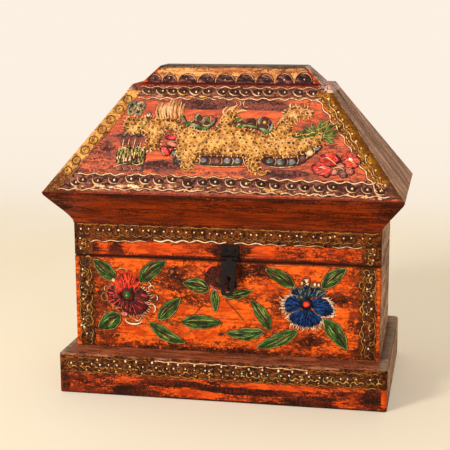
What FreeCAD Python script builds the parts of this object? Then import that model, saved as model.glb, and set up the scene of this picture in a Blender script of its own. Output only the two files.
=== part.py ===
import FreeCAD, Part
import math
import os

from FreeCAD import Vector

# A small wooden chest with a hipped lid, in millimetres, +Z up, front towards -Y
# The origin lies on the table under the middle of the plinth

# Box body
body_width = 282.0
body_depth = 126.0
seam_height = 124.0
wall_thickness = 10.0
wall_edge_radius = 1.6
rim_chamfer = 0.8
corner_lap_share = 0.5

# Bottom board, held in a groove round the walls
floor_height = 34.0
floor_thickness = 8.0
groove_depth = 3.0
groove_clearance = 0.15

# Plinth round the foot of the walls
plinth_height = 38.0
side_ledge = 9.0
front_ledge = 27.0
plinth_corner_radius = 4.0
plinth_top_radius = 2.5
plinth_foot_radius = 1.2

# Neck of the lid
seam_gap = 0.3
neck_height = 30.4

# Cove cornice between neck and roof
cornice_height = 32.5
side_overhang = 20.0
front_overhang = 26.5
back_overhang = 12.5
cornice_inner_share = 0.5
cove_start_pull_shares = (0.02, 0.13)
cove_end_shares = (0.30, 0.36)
soffit_end_shares = (0.93, 0.875)
nose_pull_shares = (1.0, 0.932)

# Hipped roof
roof_rise = 93.0
roof_top_width = 179.0
roof_top_depth = 58.0
roof_board_thickness = 9.0
roof_hip_radius = 2.5
top_board_thickness = 6.0
top_board_edge_radius = 1.0

# Cap block on the roof
cap_height = 16.0
cap_side_ledge = 6.0
cap_front_ledge = 7.0
cap_side_run = 16.5
cap_front_run = 9.0
cap_edge_radius = 3.5

# Iron butt hinges on the back
hinge_inset = 56.0
hinge_leaf_width = 26.0
hinge_leaf_height = 16.0
hinge_leaf_thickness = 1.5
hinge_knuckle_radius = 3.0
hinge_pin_radius = 1.2
hinge_pin_tail = 0.8
hinge_running_gap = 0.4
hinge_knuckle_share = 0.34

# Iron hasp on the lid, a little right of the middle
hasp_offset = 5.5
hasp_width = 16.0
hasp_plate_height = 12.0
hasp_plate_thickness = 1.2
hasp_knuckle_radius = 2.0
hasp_pin_radius = 0.8
hasp_pin_tail = 0.5
hasp_running_gap = 0.4
hasp_knuckle_share = 0.42
hasp_axis_rise = 2.7
strap_length = 33.5
strap_thickness = 1.5
strap_side_gap = 0.6
strap_tip_width = 10.4
strap_tip_radius = 1.8
slot_width = 4.6
slot_length = 15.4
slot_tip_margin = 2.4
strap_rest_angle = 20.0

# Wire staple in the front board
staple_wire_radius = 1.1
staple_projection = 10.5
staple_bend_radius = 5.0
staple_bite = 9.0

# Forged nails and small fits
fit_clearance = 0.05
nail_width = 2.4
nail_tip_share = 0.35
nail_head_width = 4.6
nail_head_thickness = 1.2
nail_bite = 9.0
corner_nail_length = 27.0
cornice_nail_length = 46.0
plate_nail_radius = 0.9
plate_nail_head_radius = 1.9
plate_nail_head_height = 0.9
plate_nail_length = 8.5
cut_overrun = 2.0
wedge_reach_share = 0.2

# Nail places as shares of the length or height that they divide
wall_nail_height_shares = (0.46, 0.68, 0.90)
neck_nail_height_shares = (0.5,)
long_rail_nail_shares = (-0.38, 0.0, 0.38)
short_rail_nail_shares = (-0.28, 0.28)
leaf_nail_shares = (-0.33, 0.0, 0.33)
hasp_nail_shares = (-0.25, 0.25)

# Levels and half sizes that follow
half_width = body_width / 2
half_depth = body_depth / 2
neck_foot = seam_height + seam_gap
neck_top = neck_foot + neck_height
eave_height = neck_top + cornice_height
roof_top = eave_height + roof_rise
top_board_foot = roof_top - top_board_thickness
cap_top = roof_top + cap_height
SIDES = ("front", "back", "left", "right")


def rectangle(x0, y0, x1, y1):
    """Hold a plan rectangle as its four limits."""
    return (x0, y0, x1, y1)


def grown(plan, left, front, right, back):
    """Move the four sides of a plan outwards, each by its own amount."""
    x0, y0, x1, y1 = plan
    return rectangle(x0 - left, y0 - front, x1 + right, y1 + back)


def blended(plan_a, plan_b, share):
    """Give the plan that lies a share of the way from one plan to another."""
    return tuple(a + (b - a) * share for a, b in zip(plan_a, plan_b))


def outline(points):
    """Close a wire through the points."""
    return Part.makePolygon(list(points) + [points[0]])


def block(plan, z0, z1):
    """Stand a box on a plan between two heights."""
    x0, y0, x1, y1 = plan
    return Part.makeBox(x1 - x0, y1 - y0, z1 - z0, Vector(x0, y0, z0))


def corners(plan, z):
    """List the corners of a plan at a height, anticlockwise from front left."""
    x0, y0, x1, y1 = plan
    return [Vector(x0, y0, z), Vector(x1, y0, z), Vector(x1, y1, z), Vector(x0, y1, z)]


def frustum(plan_a, z_a, plan_b, z_b):
    """Join two plans at two heights with flat sloping sides."""
    return Part.makeLoft([outline(corners(plan_a, z_a)), outline(corners(plan_b, z_b))], True, True)


def upright_edges(shape):
    """Find the edges that run up a box or along the hips of a frustum."""
    found = []
    for edge in shape.Edges:
        low, high = edge.BoundBox.ZMin, edge.BoundBox.ZMax
        if math.isclose(low, shape.BoundBox.ZMin, abs_tol=fit_clearance) and \
                math.isclose(high, shape.BoundBox.ZMax, abs_tol=fit_clearance):
            found.append(edge)
    return found


def edges_at_height(shape, z):
    """Find the edges that lie level at a height."""
    return [edge for edge in shape.Edges
            if abs(edge.BoundBox.ZMin - z) < fit_clearance and abs(edge.BoundBox.ZMax - z) < fit_clearance]


def mitre_wedges(outer_a, inner_a, z_a, outer_b, inner_b, z_b):
    """Divide the space of a mitred frame into the room of its four members."""
    rings = []
    for outer, inner, z in ((outer_a, inner_a, z_a), (outer_b, inner_b, z_b)):
        far = blended(inner, outer, 1 + wedge_reach_share)
        near = blended(inner, outer, -wedge_reach_share)
        rings.append((corners(far, z), corners(near, z)))
    wedges = {}
    for name, first in (("front", 0), ("right", 1), ("back", 2), ("left", 3)):
        second = (first + 1) % 4
        wires = [outline([far[first], far[second], near[second], near[first]]) for far, near in rings]
        wedges[name] = Part.makeLoft(wires, True, True)
    return wedges


def lapped_boards(wall, z0, z1):
    """Divide a rectangular wall into four boards with lapped corners."""
    lap = wall_thickness * corner_lap_share
    boards = {}
    for name, sign in (("front", -1), ("back", 1)):
        face = sign * half_depth
        skin = (min(face, face - sign * lap), max(face, face - sign * lap))
        core = (min(face, face - sign * wall_thickness), max(face, face - sign * wall_thickness))
        room = block(rectangle(-half_width, skin[0], half_width, skin[1]), z0, z1)
        inner_end = half_width - wall_thickness
        room = room.fuse(block(rectangle(-inner_end, core[0], inner_end, core[1]), z0, z1))
        boards[name] = wall.common(room)
    for name, sign in (("left", -1), ("right", 1)):
        xs = sorted((sign * half_width, sign * (half_width - wall_thickness)))
        room = block(rectangle(xs[0], -half_depth + lap, xs[1], half_depth - lap), z0, z1)
        boards[name] = wall.common(room)
    return boards


def placed_along(shape, start, direction):
    """Turn a shape made along +Z to run along a direction from a start point."""
    turned = shape.copy()
    turned.Placement = FreeCAD.Placement(start, FreeCAD.Rotation(Vector(0, 0, 1), direction))
    return turned


def forged_nail(start, direction, length, grow=0.0):
    """Make a square forged nail, its flat head flush at the start."""
    def square(width, z):
        half = width / 2 + grow
        return outline(corners(rectangle(-half, -half, half, half), z))
    shank = Part.makeLoft([square(nail_width, nail_head_thickness),
                           square(nail_width * nail_tip_share, length + grow)], True, True)
    half_head = nail_head_width / 2 + grow
    head = block(rectangle(-half_head, -half_head, half_head, half_head), 0, nail_head_thickness)
    return placed_along(head.fuse(shank), start, direction)


def domed_nail(start, direction, grow=0.0):
    """Make a round nail whose low domed head stands on a plate."""
    shank = Part.makeCylinder(plate_nail_radius + grow, plate_nail_length + grow)
    if grow:
        return placed_along(shank, start, direction)
    crown = plate_nail_head_radius - plate_nail_head_height
    head = Part.makeCone(crown, plate_nail_head_radius, plate_nail_head_height,
                         Vector(0, 0, -plate_nail_head_height))
    return placed_along(head.fuse(shank).removeSplitter(), start, direction)


def drilled(shape, tools):
    """Cut a list of tools out of a shape."""
    return shape.cut(Part.makeCompound(tools)) if tools else shape


# Plans of the box, the plinth, the eaves and the roof
body_plan = rectangle(-half_width, -half_depth, half_width, half_depth)
inside_plan = grown(body_plan, -wall_thickness, -wall_thickness, -wall_thickness, -wall_thickness)
plinth_plan = grown(body_plan, side_ledge, front_ledge, side_ledge, front_ledge)
eave_plan = grown(body_plan, side_overhang, front_overhang, side_overhang, back_overhang)
roof_middle = (eave_plan[1] + eave_plan[3]) / 2
roof_top_plan = rectangle(-roof_top_width / 2, roof_middle - roof_top_depth / 2,
                          roof_top_width / 2, roof_middle + roof_top_depth / 2)


def make_plinth():
    """Mitre four rails round the foot of the box."""
    outer = block(plinth_plan, 0, plinth_height)
    outer = outer.makeFillet(plinth_corner_radius, upright_edges(outer))
    outer = outer.makeFillet(plinth_top_radius, edges_at_height(outer, plinth_height))
    outer = outer.makeFillet(plinth_foot_radius, edges_at_height(outer, 0))
    ring = outer.cut(block(body_plan, -cut_overrun, plinth_height + cut_overrun))
    wedges = mitre_wedges(plinth_plan, body_plan, -cut_overrun,
                          plinth_plan, body_plan, plinth_height + cut_overrun)
    return {name: ring.common(wedges[name]) for name in SIDES}


def make_walls():
    """Make the four lapped boards of the box, grooved for the bottom board."""
    outer = block(body_plan, 0, seam_height)
    outer = outer.makeFillet(wall_edge_radius, upright_edges(outer))
    outer = outer.makeChamfer(rim_chamfer, edges_at_height(outer, seam_height))
    wall = outer.cut(block(inside_plan, -cut_overrun, seam_height + cut_overrun))
    groove_plan = grown(inside_plan, groove_depth, groove_depth, groove_depth, groove_depth)
    wall = wall.cut(block(groove_plan, floor_height - floor_thickness, floor_height))
    return lapped_boards(wall, -cut_overrun, seam_height + cut_overrun)


def make_bottom_board():
    """Make the loose bottom board that lies in the groove."""
    reach = groove_depth - groove_clearance
    return block(grown(inside_plan, reach, reach, reach, reach),
                 floor_height - floor_thickness, floor_height)


def make_neck():
    """Make the four lapped rails that stand on the box when the lid is shut."""
    outer = block(body_plan, neck_foot, neck_top)
    outer = outer.makeFillet(wall_edge_radius, upright_edges(outer))
    outer = outer.makeChamfer(rim_chamfer, edges_at_height(outer, neck_foot))
    wall = outer.cut(block(inside_plan, neck_foot - cut_overrun, neck_top + cut_overrun))
    return lapped_boards(wall, neck_foot - cut_overrun, neck_top + cut_overrun)


def cornice_face(place):
    """Draw the section of the cove, where place turns shares into a point."""
    start = place((0.0, 0.0))
    cove = Part.BezierCurve()
    cove.setPoles([start, place(cove_start_pull_shares), place(cove_end_shares)])
    nose = Part.BezierCurve()
    nose.setPoles([place(soffit_end_shares), place(nose_pull_shares), place((1.0, 1.0))])
    inner_top = place((-cornice_inner_share, 1.0))
    inner_foot = place((-cornice_inner_share, 0.0))
    edges = [cove.toShape(),
             Part.makeLine(place(cove_end_shares), place(soffit_end_shares)),
             nose.toShape(),
             Part.makeLine(place((1.0, 1.0)), inner_top),
             Part.makeLine(inner_top, inner_foot),
             Part.makeLine(inner_foot, start)]
    return Part.Face(Part.Wire(edges))


def make_cornice():
    """Make the four mitred cove mouldings under the eaves."""
    overhangs = (side_overhang, front_overhang, side_overhang, back_overhang)
    inner_plan = grown(body_plan, *[-cornice_inner_share * reach for reach in overhangs])
    wedges = mitre_wedges(eave_plan, inner_plan, neck_top - cut_overrun,
                          eave_plan, inner_plan, eave_height + cut_overrun)
    long_start, short_start = eave_plan[0] - cut_overrun, eave_plan[1] - cut_overrun
    long_run = Vector(eave_plan[2] - eave_plan[0] + 2 * cut_overrun, 0, 0)
    short_run = Vector(0, eave_plan[3] - eave_plan[1] + 2 * cut_overrun, 0)

    def height(share):
        return neck_top + share * cornice_height

    faces = {
        "front": (lambda s: Vector(long_start, -half_depth - s[0] * front_overhang, height(s[1])), long_run),
        "back": (lambda s: Vector(long_start, half_depth + s[0] * back_overhang, height(s[1])), long_run),
        "left": (lambda s: Vector(-half_width - s[0] * side_overhang, short_start, height(s[1])), short_run),
        "right": (lambda s: Vector(half_width + s[0] * side_overhang, short_start, height(s[1])), short_run),
    }
    return {name: cornice_face(place).extrude(run).common(wedges[name])
            for name, (place, run) in faces.items()}


def make_roof():
    """Make the four compound-mitred slope boards of the hipped roof."""
    def slope_plan(z):
        return blended(eave_plan, roof_top_plan, (z - eave_height) / roof_rise)

    side_run = roof_top_plan[0] - eave_plan[0]
    front_run = roof_top_plan[1] - eave_plan[1]
    side_cut = roof_board_thickness * math.hypot(1, side_run / roof_rise)
    front_cut = roof_board_thickness * math.hypot(1, front_run / roof_rise)

    def hollow_plan(z):
        return grown(slope_plan(z), -side_cut, -front_cut, -side_cut, -front_cut)

    outer = frustum(slope_plan(eave_height), eave_height, slope_plan(top_board_foot), top_board_foot)
    outer = outer.makeFillet(roof_hip_radius, upright_edges(outer))
    low, high = eave_height - cut_overrun, top_board_foot + cut_overrun
    shell = outer.cut(frustum(hollow_plan(low), low, hollow_plan(high), high))
    wedges = mitre_wedges(slope_plan(low), hollow_plan(low), low, slope_plan(high), hollow_plan(high), high)
    boards = {name: shell.common(wedges[name]) for name in SIDES}
    top_board = frustum(slope_plan(top_board_foot), top_board_foot, roof_top_plan, roof_top)
    top_board = top_board.makeFillet(top_board_edge_radius, edges_at_height(top_board, roof_top))
    return boards, top_board


def make_cap():
    """Make the bevelled cap block."""
    foot = grown(roof_top_plan, -cap_side_ledge, -cap_front_ledge, -cap_side_ledge, -cap_front_ledge)
    head = grown(foot, -cap_side_run, -cap_front_run, -cap_side_run, -cap_front_run)
    cap = frustum(foot, roof_top, head, cap_top)
    return cap.makeFillet(cap_edge_radius, edges_at_height(cap, cap_top))


def bar_along_x(radius, x0, x1, y, z):
    """Lay a round bar along X."""
    return Part.makeCylinder(radius, x1 - x0, Vector(x0, y, z), Vector(1, 0, 0))


# Back hinges: one axis just behind the back wall at the seam
hinge_y = half_depth + hinge_knuckle_radius + hinge_running_gap
hinge_z = seam_height + seam_gap / 2
hinge_centres = {"left": -half_width + hinge_inset, "right": half_width - hinge_inset}
leaf_half = hinge_leaf_width / 2
middle_half = hinge_leaf_width * hinge_knuckle_share / 2


def hinge_leaf(centre, up, middle):
    """Make one leaf with its rolled knuckles, nailed flat on the back."""
    tip = hinge_z + up * hinge_leaf_height
    low, high = min(hinge_z, tip), max(hinge_z, tip)
    leaf = block(rectangle(centre - leaf_half, half_depth, centre + leaf_half,
                           half_depth + hinge_leaf_thickness), low, high)
    gap = hinge_running_gap / 2
    if middle:
        own = [(-middle_half + gap, middle_half - gap)]
        other = [(-leaf_half - cut_overrun, -middle_half + gap), (middle_half - gap, leaf_half + cut_overrun)]
    else:
        own = [(-leaf_half, -middle_half - gap), (middle_half + gap, leaf_half)]
        other = [(-middle_half - gap, middle_half + gap)]
    notch = hinge_knuckle_radius + hinge_running_gap
    for x0, x1 in other:
        plan = rectangle(centre + x0, half_depth - cut_overrun, centre + x1, hinge_y + notch)
        leaf = leaf.cut(block(plan, hinge_z - notch, hinge_z + notch))
    for x0, x1 in own:
        leaf = leaf.fuse(bar_along_x(hinge_knuckle_radius, centre + x0, centre + x1, hinge_y, hinge_z))
    bore = bar_along_x(hinge_pin_radius + fit_clearance, centre - leaf_half - cut_overrun,
                       centre + leaf_half + cut_overrun, hinge_y, hinge_z)
    return leaf.cut(bore).removeSplitter()


def hinge_pin(centre):
    """Make the pin of a back hinge."""
    reach = leaf_half + hinge_pin_tail
    return bar_along_x(hinge_pin_radius, centre - reach, centre + reach, hinge_y, hinge_z)


def leaf_nail_starts(centre, up):
    """List where the nails of a leaf meet its outer face."""
    notch = hinge_knuckle_radius + hinge_running_gap
    z = hinge_z + up * (notch + hinge_leaf_height) / 2
    y = half_depth + hinge_leaf_thickness
    return [Vector(centre + share * hinge_leaf_width, y, z) for share in leaf_nail_shares]


# Hasp: its axis lies just above the seam in front of the neck
hasp_y = -half_depth - hasp_knuckle_radius - hasp_running_gap
hasp_z = neck_foot + hasp_axis_rise
hasp_half = hasp_width / 2
hasp_middle_half = hasp_width * hasp_knuckle_share / 2
strap_tip_z = hasp_z - strap_length
slot_foot = strap_tip_z + slot_tip_margin
slot_head = slot_foot + slot_length
staple_z = (slot_foot + slot_head) / 2


def hasp_bar(radius, x0, x1):
    """Lay a round bar along the hasp's axis, measured from the hasp's middle."""
    return bar_along_x(radius, hasp_offset + x0, hasp_offset + x1, hasp_y, hasp_z)


def hasp_room(x0, y0, x1, y1):
    """Hold a plan measured across from the hasp's middle."""
    return rectangle(hasp_offset + x0, y0, hasp_offset + x1, y1)


def make_hasp_plate():
    """Make the fixed leaf of the hasp with its two outer knuckles."""
    plate = block(hasp_room(-hasp_half, -half_depth - hasp_plate_thickness, hasp_half, -half_depth),
                  hasp_z, hasp_z + hasp_plate_height)
    gap = hasp_running_gap / 2
    notch = hasp_knuckle_radius + hasp_running_gap
    reach = hasp_middle_half + gap
    room = hasp_room(-reach, hasp_y - notch, reach, -half_depth + cut_overrun)
    plate = plate.cut(block(room, hasp_z - notch, hasp_z + notch))
    for x0, x1 in ((-hasp_half, -reach), (reach, hasp_half)):
        plate = plate.fuse(hasp_bar(hasp_knuckle_radius, x0, x1))
    bore = hasp_bar(hasp_pin_radius + fit_clearance, -hasp_width, hasp_width)
    return plate.cut(bore).removeSplitter()


def make_hasp_pin():
    """Make the pin of the hasp."""
    reach = hasp_half + hasp_pin_tail
    return hasp_bar(hasp_pin_radius, -reach, reach)


def make_strap():
    """Make the slotted, tapering strap, standing off in front of the staple."""
    outer_y = hasp_y - hasp_knuckle_radius
    top_half = hasp_half - strap_side_gap
    tip_half = strap_tip_width / 2
    places = ((-top_half, hasp_z), (-tip_half, strap_tip_z), (tip_half, strap_tip_z), (top_half, hasp_z))
    face = Part.Face(outline([Vector(hasp_offset + x, outer_y, z) for x, z in places]))
    strap = face.extrude(Vector(0, strap_thickness, 0))
    tip_edges = [edge for edge in strap.Edges
                 if abs(edge.BoundBox.ZMax - strap_tip_z) < fit_clearance
                 and edge.BoundBox.YLength > strap_thickness - fit_clearance]
    strap = strap.makeFillet(strap_tip_radius, tip_edges)
    ends = slot_width / 2
    far, near = outer_y - cut_overrun, outer_y + strap_thickness + cut_overrun
    strap = strap.cut(block(hasp_room(-ends, far, ends, near), slot_foot + ends, slot_head - ends))
    for z in (slot_foot + ends, slot_head - ends):
        strap = strap.cut(Part.makeCylinder(ends, near - far, Vector(hasp_offset, far, z), Vector(0, 1, 0)))
    gap = hasp_running_gap / 2
    notch = hasp_knuckle_radius + hasp_running_gap
    for x0, x1 in ((-hasp_width, -hasp_middle_half + gap), (hasp_middle_half - gap, hasp_width)):
        strap = strap.cut(block(hasp_room(x0, far, x1, near), hasp_z - notch, hasp_z + notch))
    reach = hasp_middle_half - gap
    strap = strap.fuse(hasp_bar(hasp_knuckle_radius, -reach, reach))
    bore = hasp_bar(hasp_pin_radius + fit_clearance, -hasp_width, hasp_width)
    strap = strap.cut(bore).removeSplitter()
    strap.rotate(Vector(0, hasp_y, hasp_z), Vector(1, 0, 0), -strap_rest_angle)
    return strap


def make_staple(grow=0.0):
    """Bend the wire staple that the slot of the strap drops over."""
    legs_end = -half_depth - staple_projection + staple_wire_radius + staple_bend_radius
    root = -half_depth + staple_bite
    low, high = staple_z - staple_bend_radius, staple_z + staple_bend_radius
    apex = legs_end - staple_bend_radius

    def at(y, z):
        return Vector(hasp_offset, y, z)

    path = Part.Wire([
        Part.makeLine(at(root, low), at(legs_end, low)),
        Part.Arc(at(legs_end, low), at(apex, staple_z), at(legs_end, high)).toShape(),
        Part.makeLine(at(legs_end, high), at(root, high)),
    ])
    ring = Part.Wire(Part.makeCircle(staple_wire_radius + grow, at(root, low), Vector(0, -1, 0)))
    return path.makePipeShell([ring], True, False)


def plate_nail_starts():
    """List where the two hasp nails meet the fixed leaf."""
    notch = hasp_knuckle_radius + hasp_running_gap
    z = hasp_z + (notch + hasp_plate_height) / 2
    y = -half_depth - hasp_plate_thickness
    return [Vector(hasp_offset + share * hasp_width, y, z) for share in hasp_nail_shares]


def corner_nail_starts(z0, z1, shares):
    """Give start and direction of the nails through the lapped corners."""
    x = half_width - wall_thickness / 2
    return [(Vector(sx * x, sy * half_depth, z0 + share * (z1 - z0)), Vector(0, -sy, 0))
            for sx in (-1, 1) for sy in (-1, 1) for share in shares]


def plinth_nail_starts():
    """Give start, direction and length of the nails through the plinth rails."""
    z = (floor_height - floor_thickness) / 2 + plinth_foot_radius
    found = []
    for sign in (-1, 1):
        for share in long_rail_nail_shares:
            start = Vector(share * body_width, sign * (half_depth + front_ledge), z)
            found.append((start, Vector(0, -sign, 0), front_ledge + nail_bite))
        for share in short_rail_nail_shares:
            start = Vector(sign * (half_width + side_ledge), share * body_depth, z)
            found.append((start, Vector(-sign, 0, 0), side_ledge + nail_bite))
    return found


def cornice_nail_starts():
    """List where the nails that hold the cornice to the neck are driven down."""
    inset = cornice_inner_share / 2
    found = []
    for share in long_rail_nail_shares:
        found.append(Vector(share * body_width, -half_depth + inset * front_overhang, eave_height))
        found.append(Vector(share * body_width, half_depth - inset * back_overhang, eave_height))
    for share in short_rail_nail_shares:
        for sign in (-1, 1):
            found.append(Vector(sign * (half_width - inset * side_overhang), share * body_depth, eave_height))
    return found


def build():
    """Make every piece and return the solids by node name."""
    nodes = {}
    plinth, walls, neck, cornice = make_plinth(), make_walls(), make_neck(), make_cornice()
    roof, top_board = make_roof()
    down = Vector(0, 0, -1)

    wall_nails = [(start, way, corner_nail_length) for start, way in
                  corner_nail_starts(0, seam_height, wall_nail_height_shares)]
    neck_nails = [(start, way, corner_nail_length) for start, way in
                  corner_nail_starts(neck_foot, neck_top, neck_nail_height_shares)]
    plinth_nails = plinth_nail_starts()
    cornice_nails = [(start, down, cornice_nail_length) for start in cornice_nail_starts()]
    body_leaf_nails = [start for x in hinge_centres.values() for start in leaf_nail_starts(x, -1)]
    lid_leaf_nails = [start for x in hinge_centres.values() for start in leaf_nail_starts(x, 1)]
    inwards_back, inwards_front = Vector(0, -1, 0), Vector(0, 1, 0)

    def nail_holes(places):
        return [forged_nail(start, way, length, fit_clearance) for start, way, length in places]

    def leaf_holes(starts, way):
        return [domed_nail(start, way, fit_clearance) for start in starts]

    holes = nail_holes(wall_nails + plinth_nails)
    body_pins = {"front": [make_staple(fit_clearance)], "back": leaf_holes(body_leaf_nails, inwards_back)}
    lid_pins = {"front": leaf_holes(plate_nail_starts(), inwards_front),
                "back": leaf_holes(lid_leaf_nails, inwards_back)}
    for name in SIDES:
        nodes["plinth_%s_rail" % name] = drilled(plinth[name], nail_holes(plinth_nails))
        nodes["body_%s_board" % name] = drilled(walls[name], holes + body_pins.get(name, []))
        neck_tools = nail_holes(neck_nails + cornice_nails) + lid_pins.get(name, [])
        nodes["neck_%s_rail" % name] = drilled(neck[name], neck_tools)
        nodes["cornice_%s" % name] = drilled(cornice[name], nail_holes(cornice_nails))
        nodes["roof_%s_board" % name] = roof[name]
    nodes["bottom_board"] = make_bottom_board()
    nodes["roof_top_board"] = top_board
    nodes["cap_block"] = make_cap()

    for name, places in (("body_corner_nails", wall_nails), ("neck_corner_nails", neck_nails),
                         ("plinth_nails", plinth_nails), ("cornice_nails", cornice_nails)):
        nodes[name] = Part.makeCompound([forged_nail(*place) for place in places])

    for side, x in hinge_centres.items():
        nodes["body_hinge_leaf_%s" % side] = drilled(hinge_leaf(x, -1, False),
                                                     leaf_holes(body_leaf_nails, inwards_back))
        nodes["lid_hinge_leaf_%s" % side] = drilled(hinge_leaf(x, 1, True),
                                                    leaf_holes(lid_leaf_nails, inwards_back))
        nodes["hinge_pin_%s" % side] = hinge_pin(x)
    nodes["body_hinge_nails"] = Part.makeCompound([domed_nail(s, inwards_back) for s in body_leaf_nails])
    nodes["lid_hinge_nails"] = Part.makeCompound([domed_nail(s, inwards_back) for s in lid_leaf_nails])

    nodes["staple"] = make_staple()
    nodes["hasp_plate"] = drilled(make_hasp_plate(), leaf_holes(plate_nail_starts(), inwards_front))
    nodes["hasp_nails"] = Part.makeCompound([domed_nail(s, inwards_front) for s in plate_nail_starts()])
    nodes["hasp_pin"] = make_hasp_pin()
    nodes["hasp_strap"] = make_strap()
    return nodes


os.makedirs("parts", exist_ok=True)
for node_name, solid in build().items():
    solid.exportStep("parts/%s.step" % node_name)
    print("%-24s solids %2d  volume %10.1f  valid %s"
          % (node_name, len(solid.Solids), solid.Volume, solid.isValid()))
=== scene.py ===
import logging
import math
from dataclasses import dataclass, field
from enum import Enum
from typing import Callable, ClassVar, Optional, Sequence, Union

import bpy
import numpy as np
from mathutils import Matrix, Vector, noise
from mathutils.geometry import delaunay_2d_cdt


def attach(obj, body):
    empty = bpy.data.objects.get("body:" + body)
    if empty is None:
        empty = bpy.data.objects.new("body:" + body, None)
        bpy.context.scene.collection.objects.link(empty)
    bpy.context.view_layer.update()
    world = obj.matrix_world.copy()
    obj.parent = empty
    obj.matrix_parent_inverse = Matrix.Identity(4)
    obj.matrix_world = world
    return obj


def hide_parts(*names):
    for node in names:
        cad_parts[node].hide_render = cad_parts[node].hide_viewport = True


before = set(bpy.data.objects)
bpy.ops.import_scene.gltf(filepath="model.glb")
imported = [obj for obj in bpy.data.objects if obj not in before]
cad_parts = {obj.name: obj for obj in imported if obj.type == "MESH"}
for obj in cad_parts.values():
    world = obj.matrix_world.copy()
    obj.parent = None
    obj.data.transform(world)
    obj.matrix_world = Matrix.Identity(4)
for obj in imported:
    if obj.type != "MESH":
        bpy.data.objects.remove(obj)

MM = 0.001
log = logging.getLogger("wooden_box")

Colour = str  # as seen on screen, #rrggbb
Value = Union["Signal", float]
Hue = Union["Signal", Colour]
Point = tuple[float, float]
Line = Union[Sequence[Point], Sequence[float], np.ndarray]  # pairs, or one row of across, up, across, up
Patch = tuple[float, float, float, float, float]  # middle across and up, reach across and up, weight
# A shape's tone can hold painted shade near its edge as well as mottling.
Shape = Callable[[np.ndarray, np.ndarray], tuple[np.ndarray, np.ndarray]]  # gives added height and tone
WALL_HALF_WIDTH = 141.0
WALL_HALF_DEPTH = 63.0
ROOF_RISE = 93.0
ROOF_RUN = 53.5
ROOF_SLOPE = math.hypot(ROOF_RISE, ROOF_RUN)
LONG_GRAIN = (24, 60, 420)  # along a board that runs from left to right, in grains to the metre


class Face(Enum):
    """The four sides of the box."""

    FRONT = "front"
    BACK = "back"
    LEFT = "left"
    RIGHT = "right"


class Half(Enum):
    """The two halves that ornament rides on."""

    BOX = "box"
    LID = "lid"


def light(colour: Colour) -> tuple[float, ...]:
    """Turn a screen colour, #rrggbb, into linear red, green, blue and a full alpha."""
    shares = [int(colour[i:i + 2], 16) / 255.0 for i in (1, 3, 5)]
    return (*(s / 12.92 if s <= 0.04045 else ((s + 0.055) / 1.055) ** 2.4 for s in shares), 1.0)


class Signal:
    """A shader socket that takes part in sums like a number."""

    def __init__(self, graph: "Graph", socket: bpy.types.NodeSocket) -> None:
        """Wrap a socket of a graph."""
        self.graph, self.socket = graph, socket

    def __add__(self, other: Value) -> "Signal":
        """Add."""
        return self.graph.maths("ADD", self, other)

    __radd__ = __add__

    def __mul__(self, other: Value) -> "Signal":
        """Multiply."""
        return self.graph.maths("MULTIPLY", self, other)

    __rmul__ = __mul__

    def __sub__(self, other: Value) -> "Signal":
        """Subtract."""
        return self.graph.maths("SUBTRACT", self, other)

    def __rsub__(self, other: float) -> "Signal":
        """Subtract from a number."""
        return self.graph.maths("SUBTRACT", other, self)

    def __abs__(self) -> "Signal":
        """Drop the sign."""
        return self.graph.maths("ABSOLUTE", self)

    def max(self, other: Value) -> "Signal":
        """Keep the larger of two values."""
        return self.graph.maths("MAXIMUM", self, other)

    def min(self, other: Value) -> "Signal":
        """Keep the smaller of two values."""
        return self.graph.maths("MINIMUM", self, other)

    def step(self, low: float, high: float, before: float = 0.0, after: float = 1.0) -> "Signal":
        """Pass smoothly from one value, before low, to another, after high."""
        node = self.graph.node("ShaderNodeMapRange", {"interpolation_type": "SMOOTHSTEP"},
            {0: self, 1: low, 2: high, 3: before, 4: after})
        return self.graph.output(node)

    def fade(self, low: float, high: float) -> "Signal":
        """Pass smoothly from 1, before low, to 0, after high."""
        return self.step(low, high, 1.0, 0.0)




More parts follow.
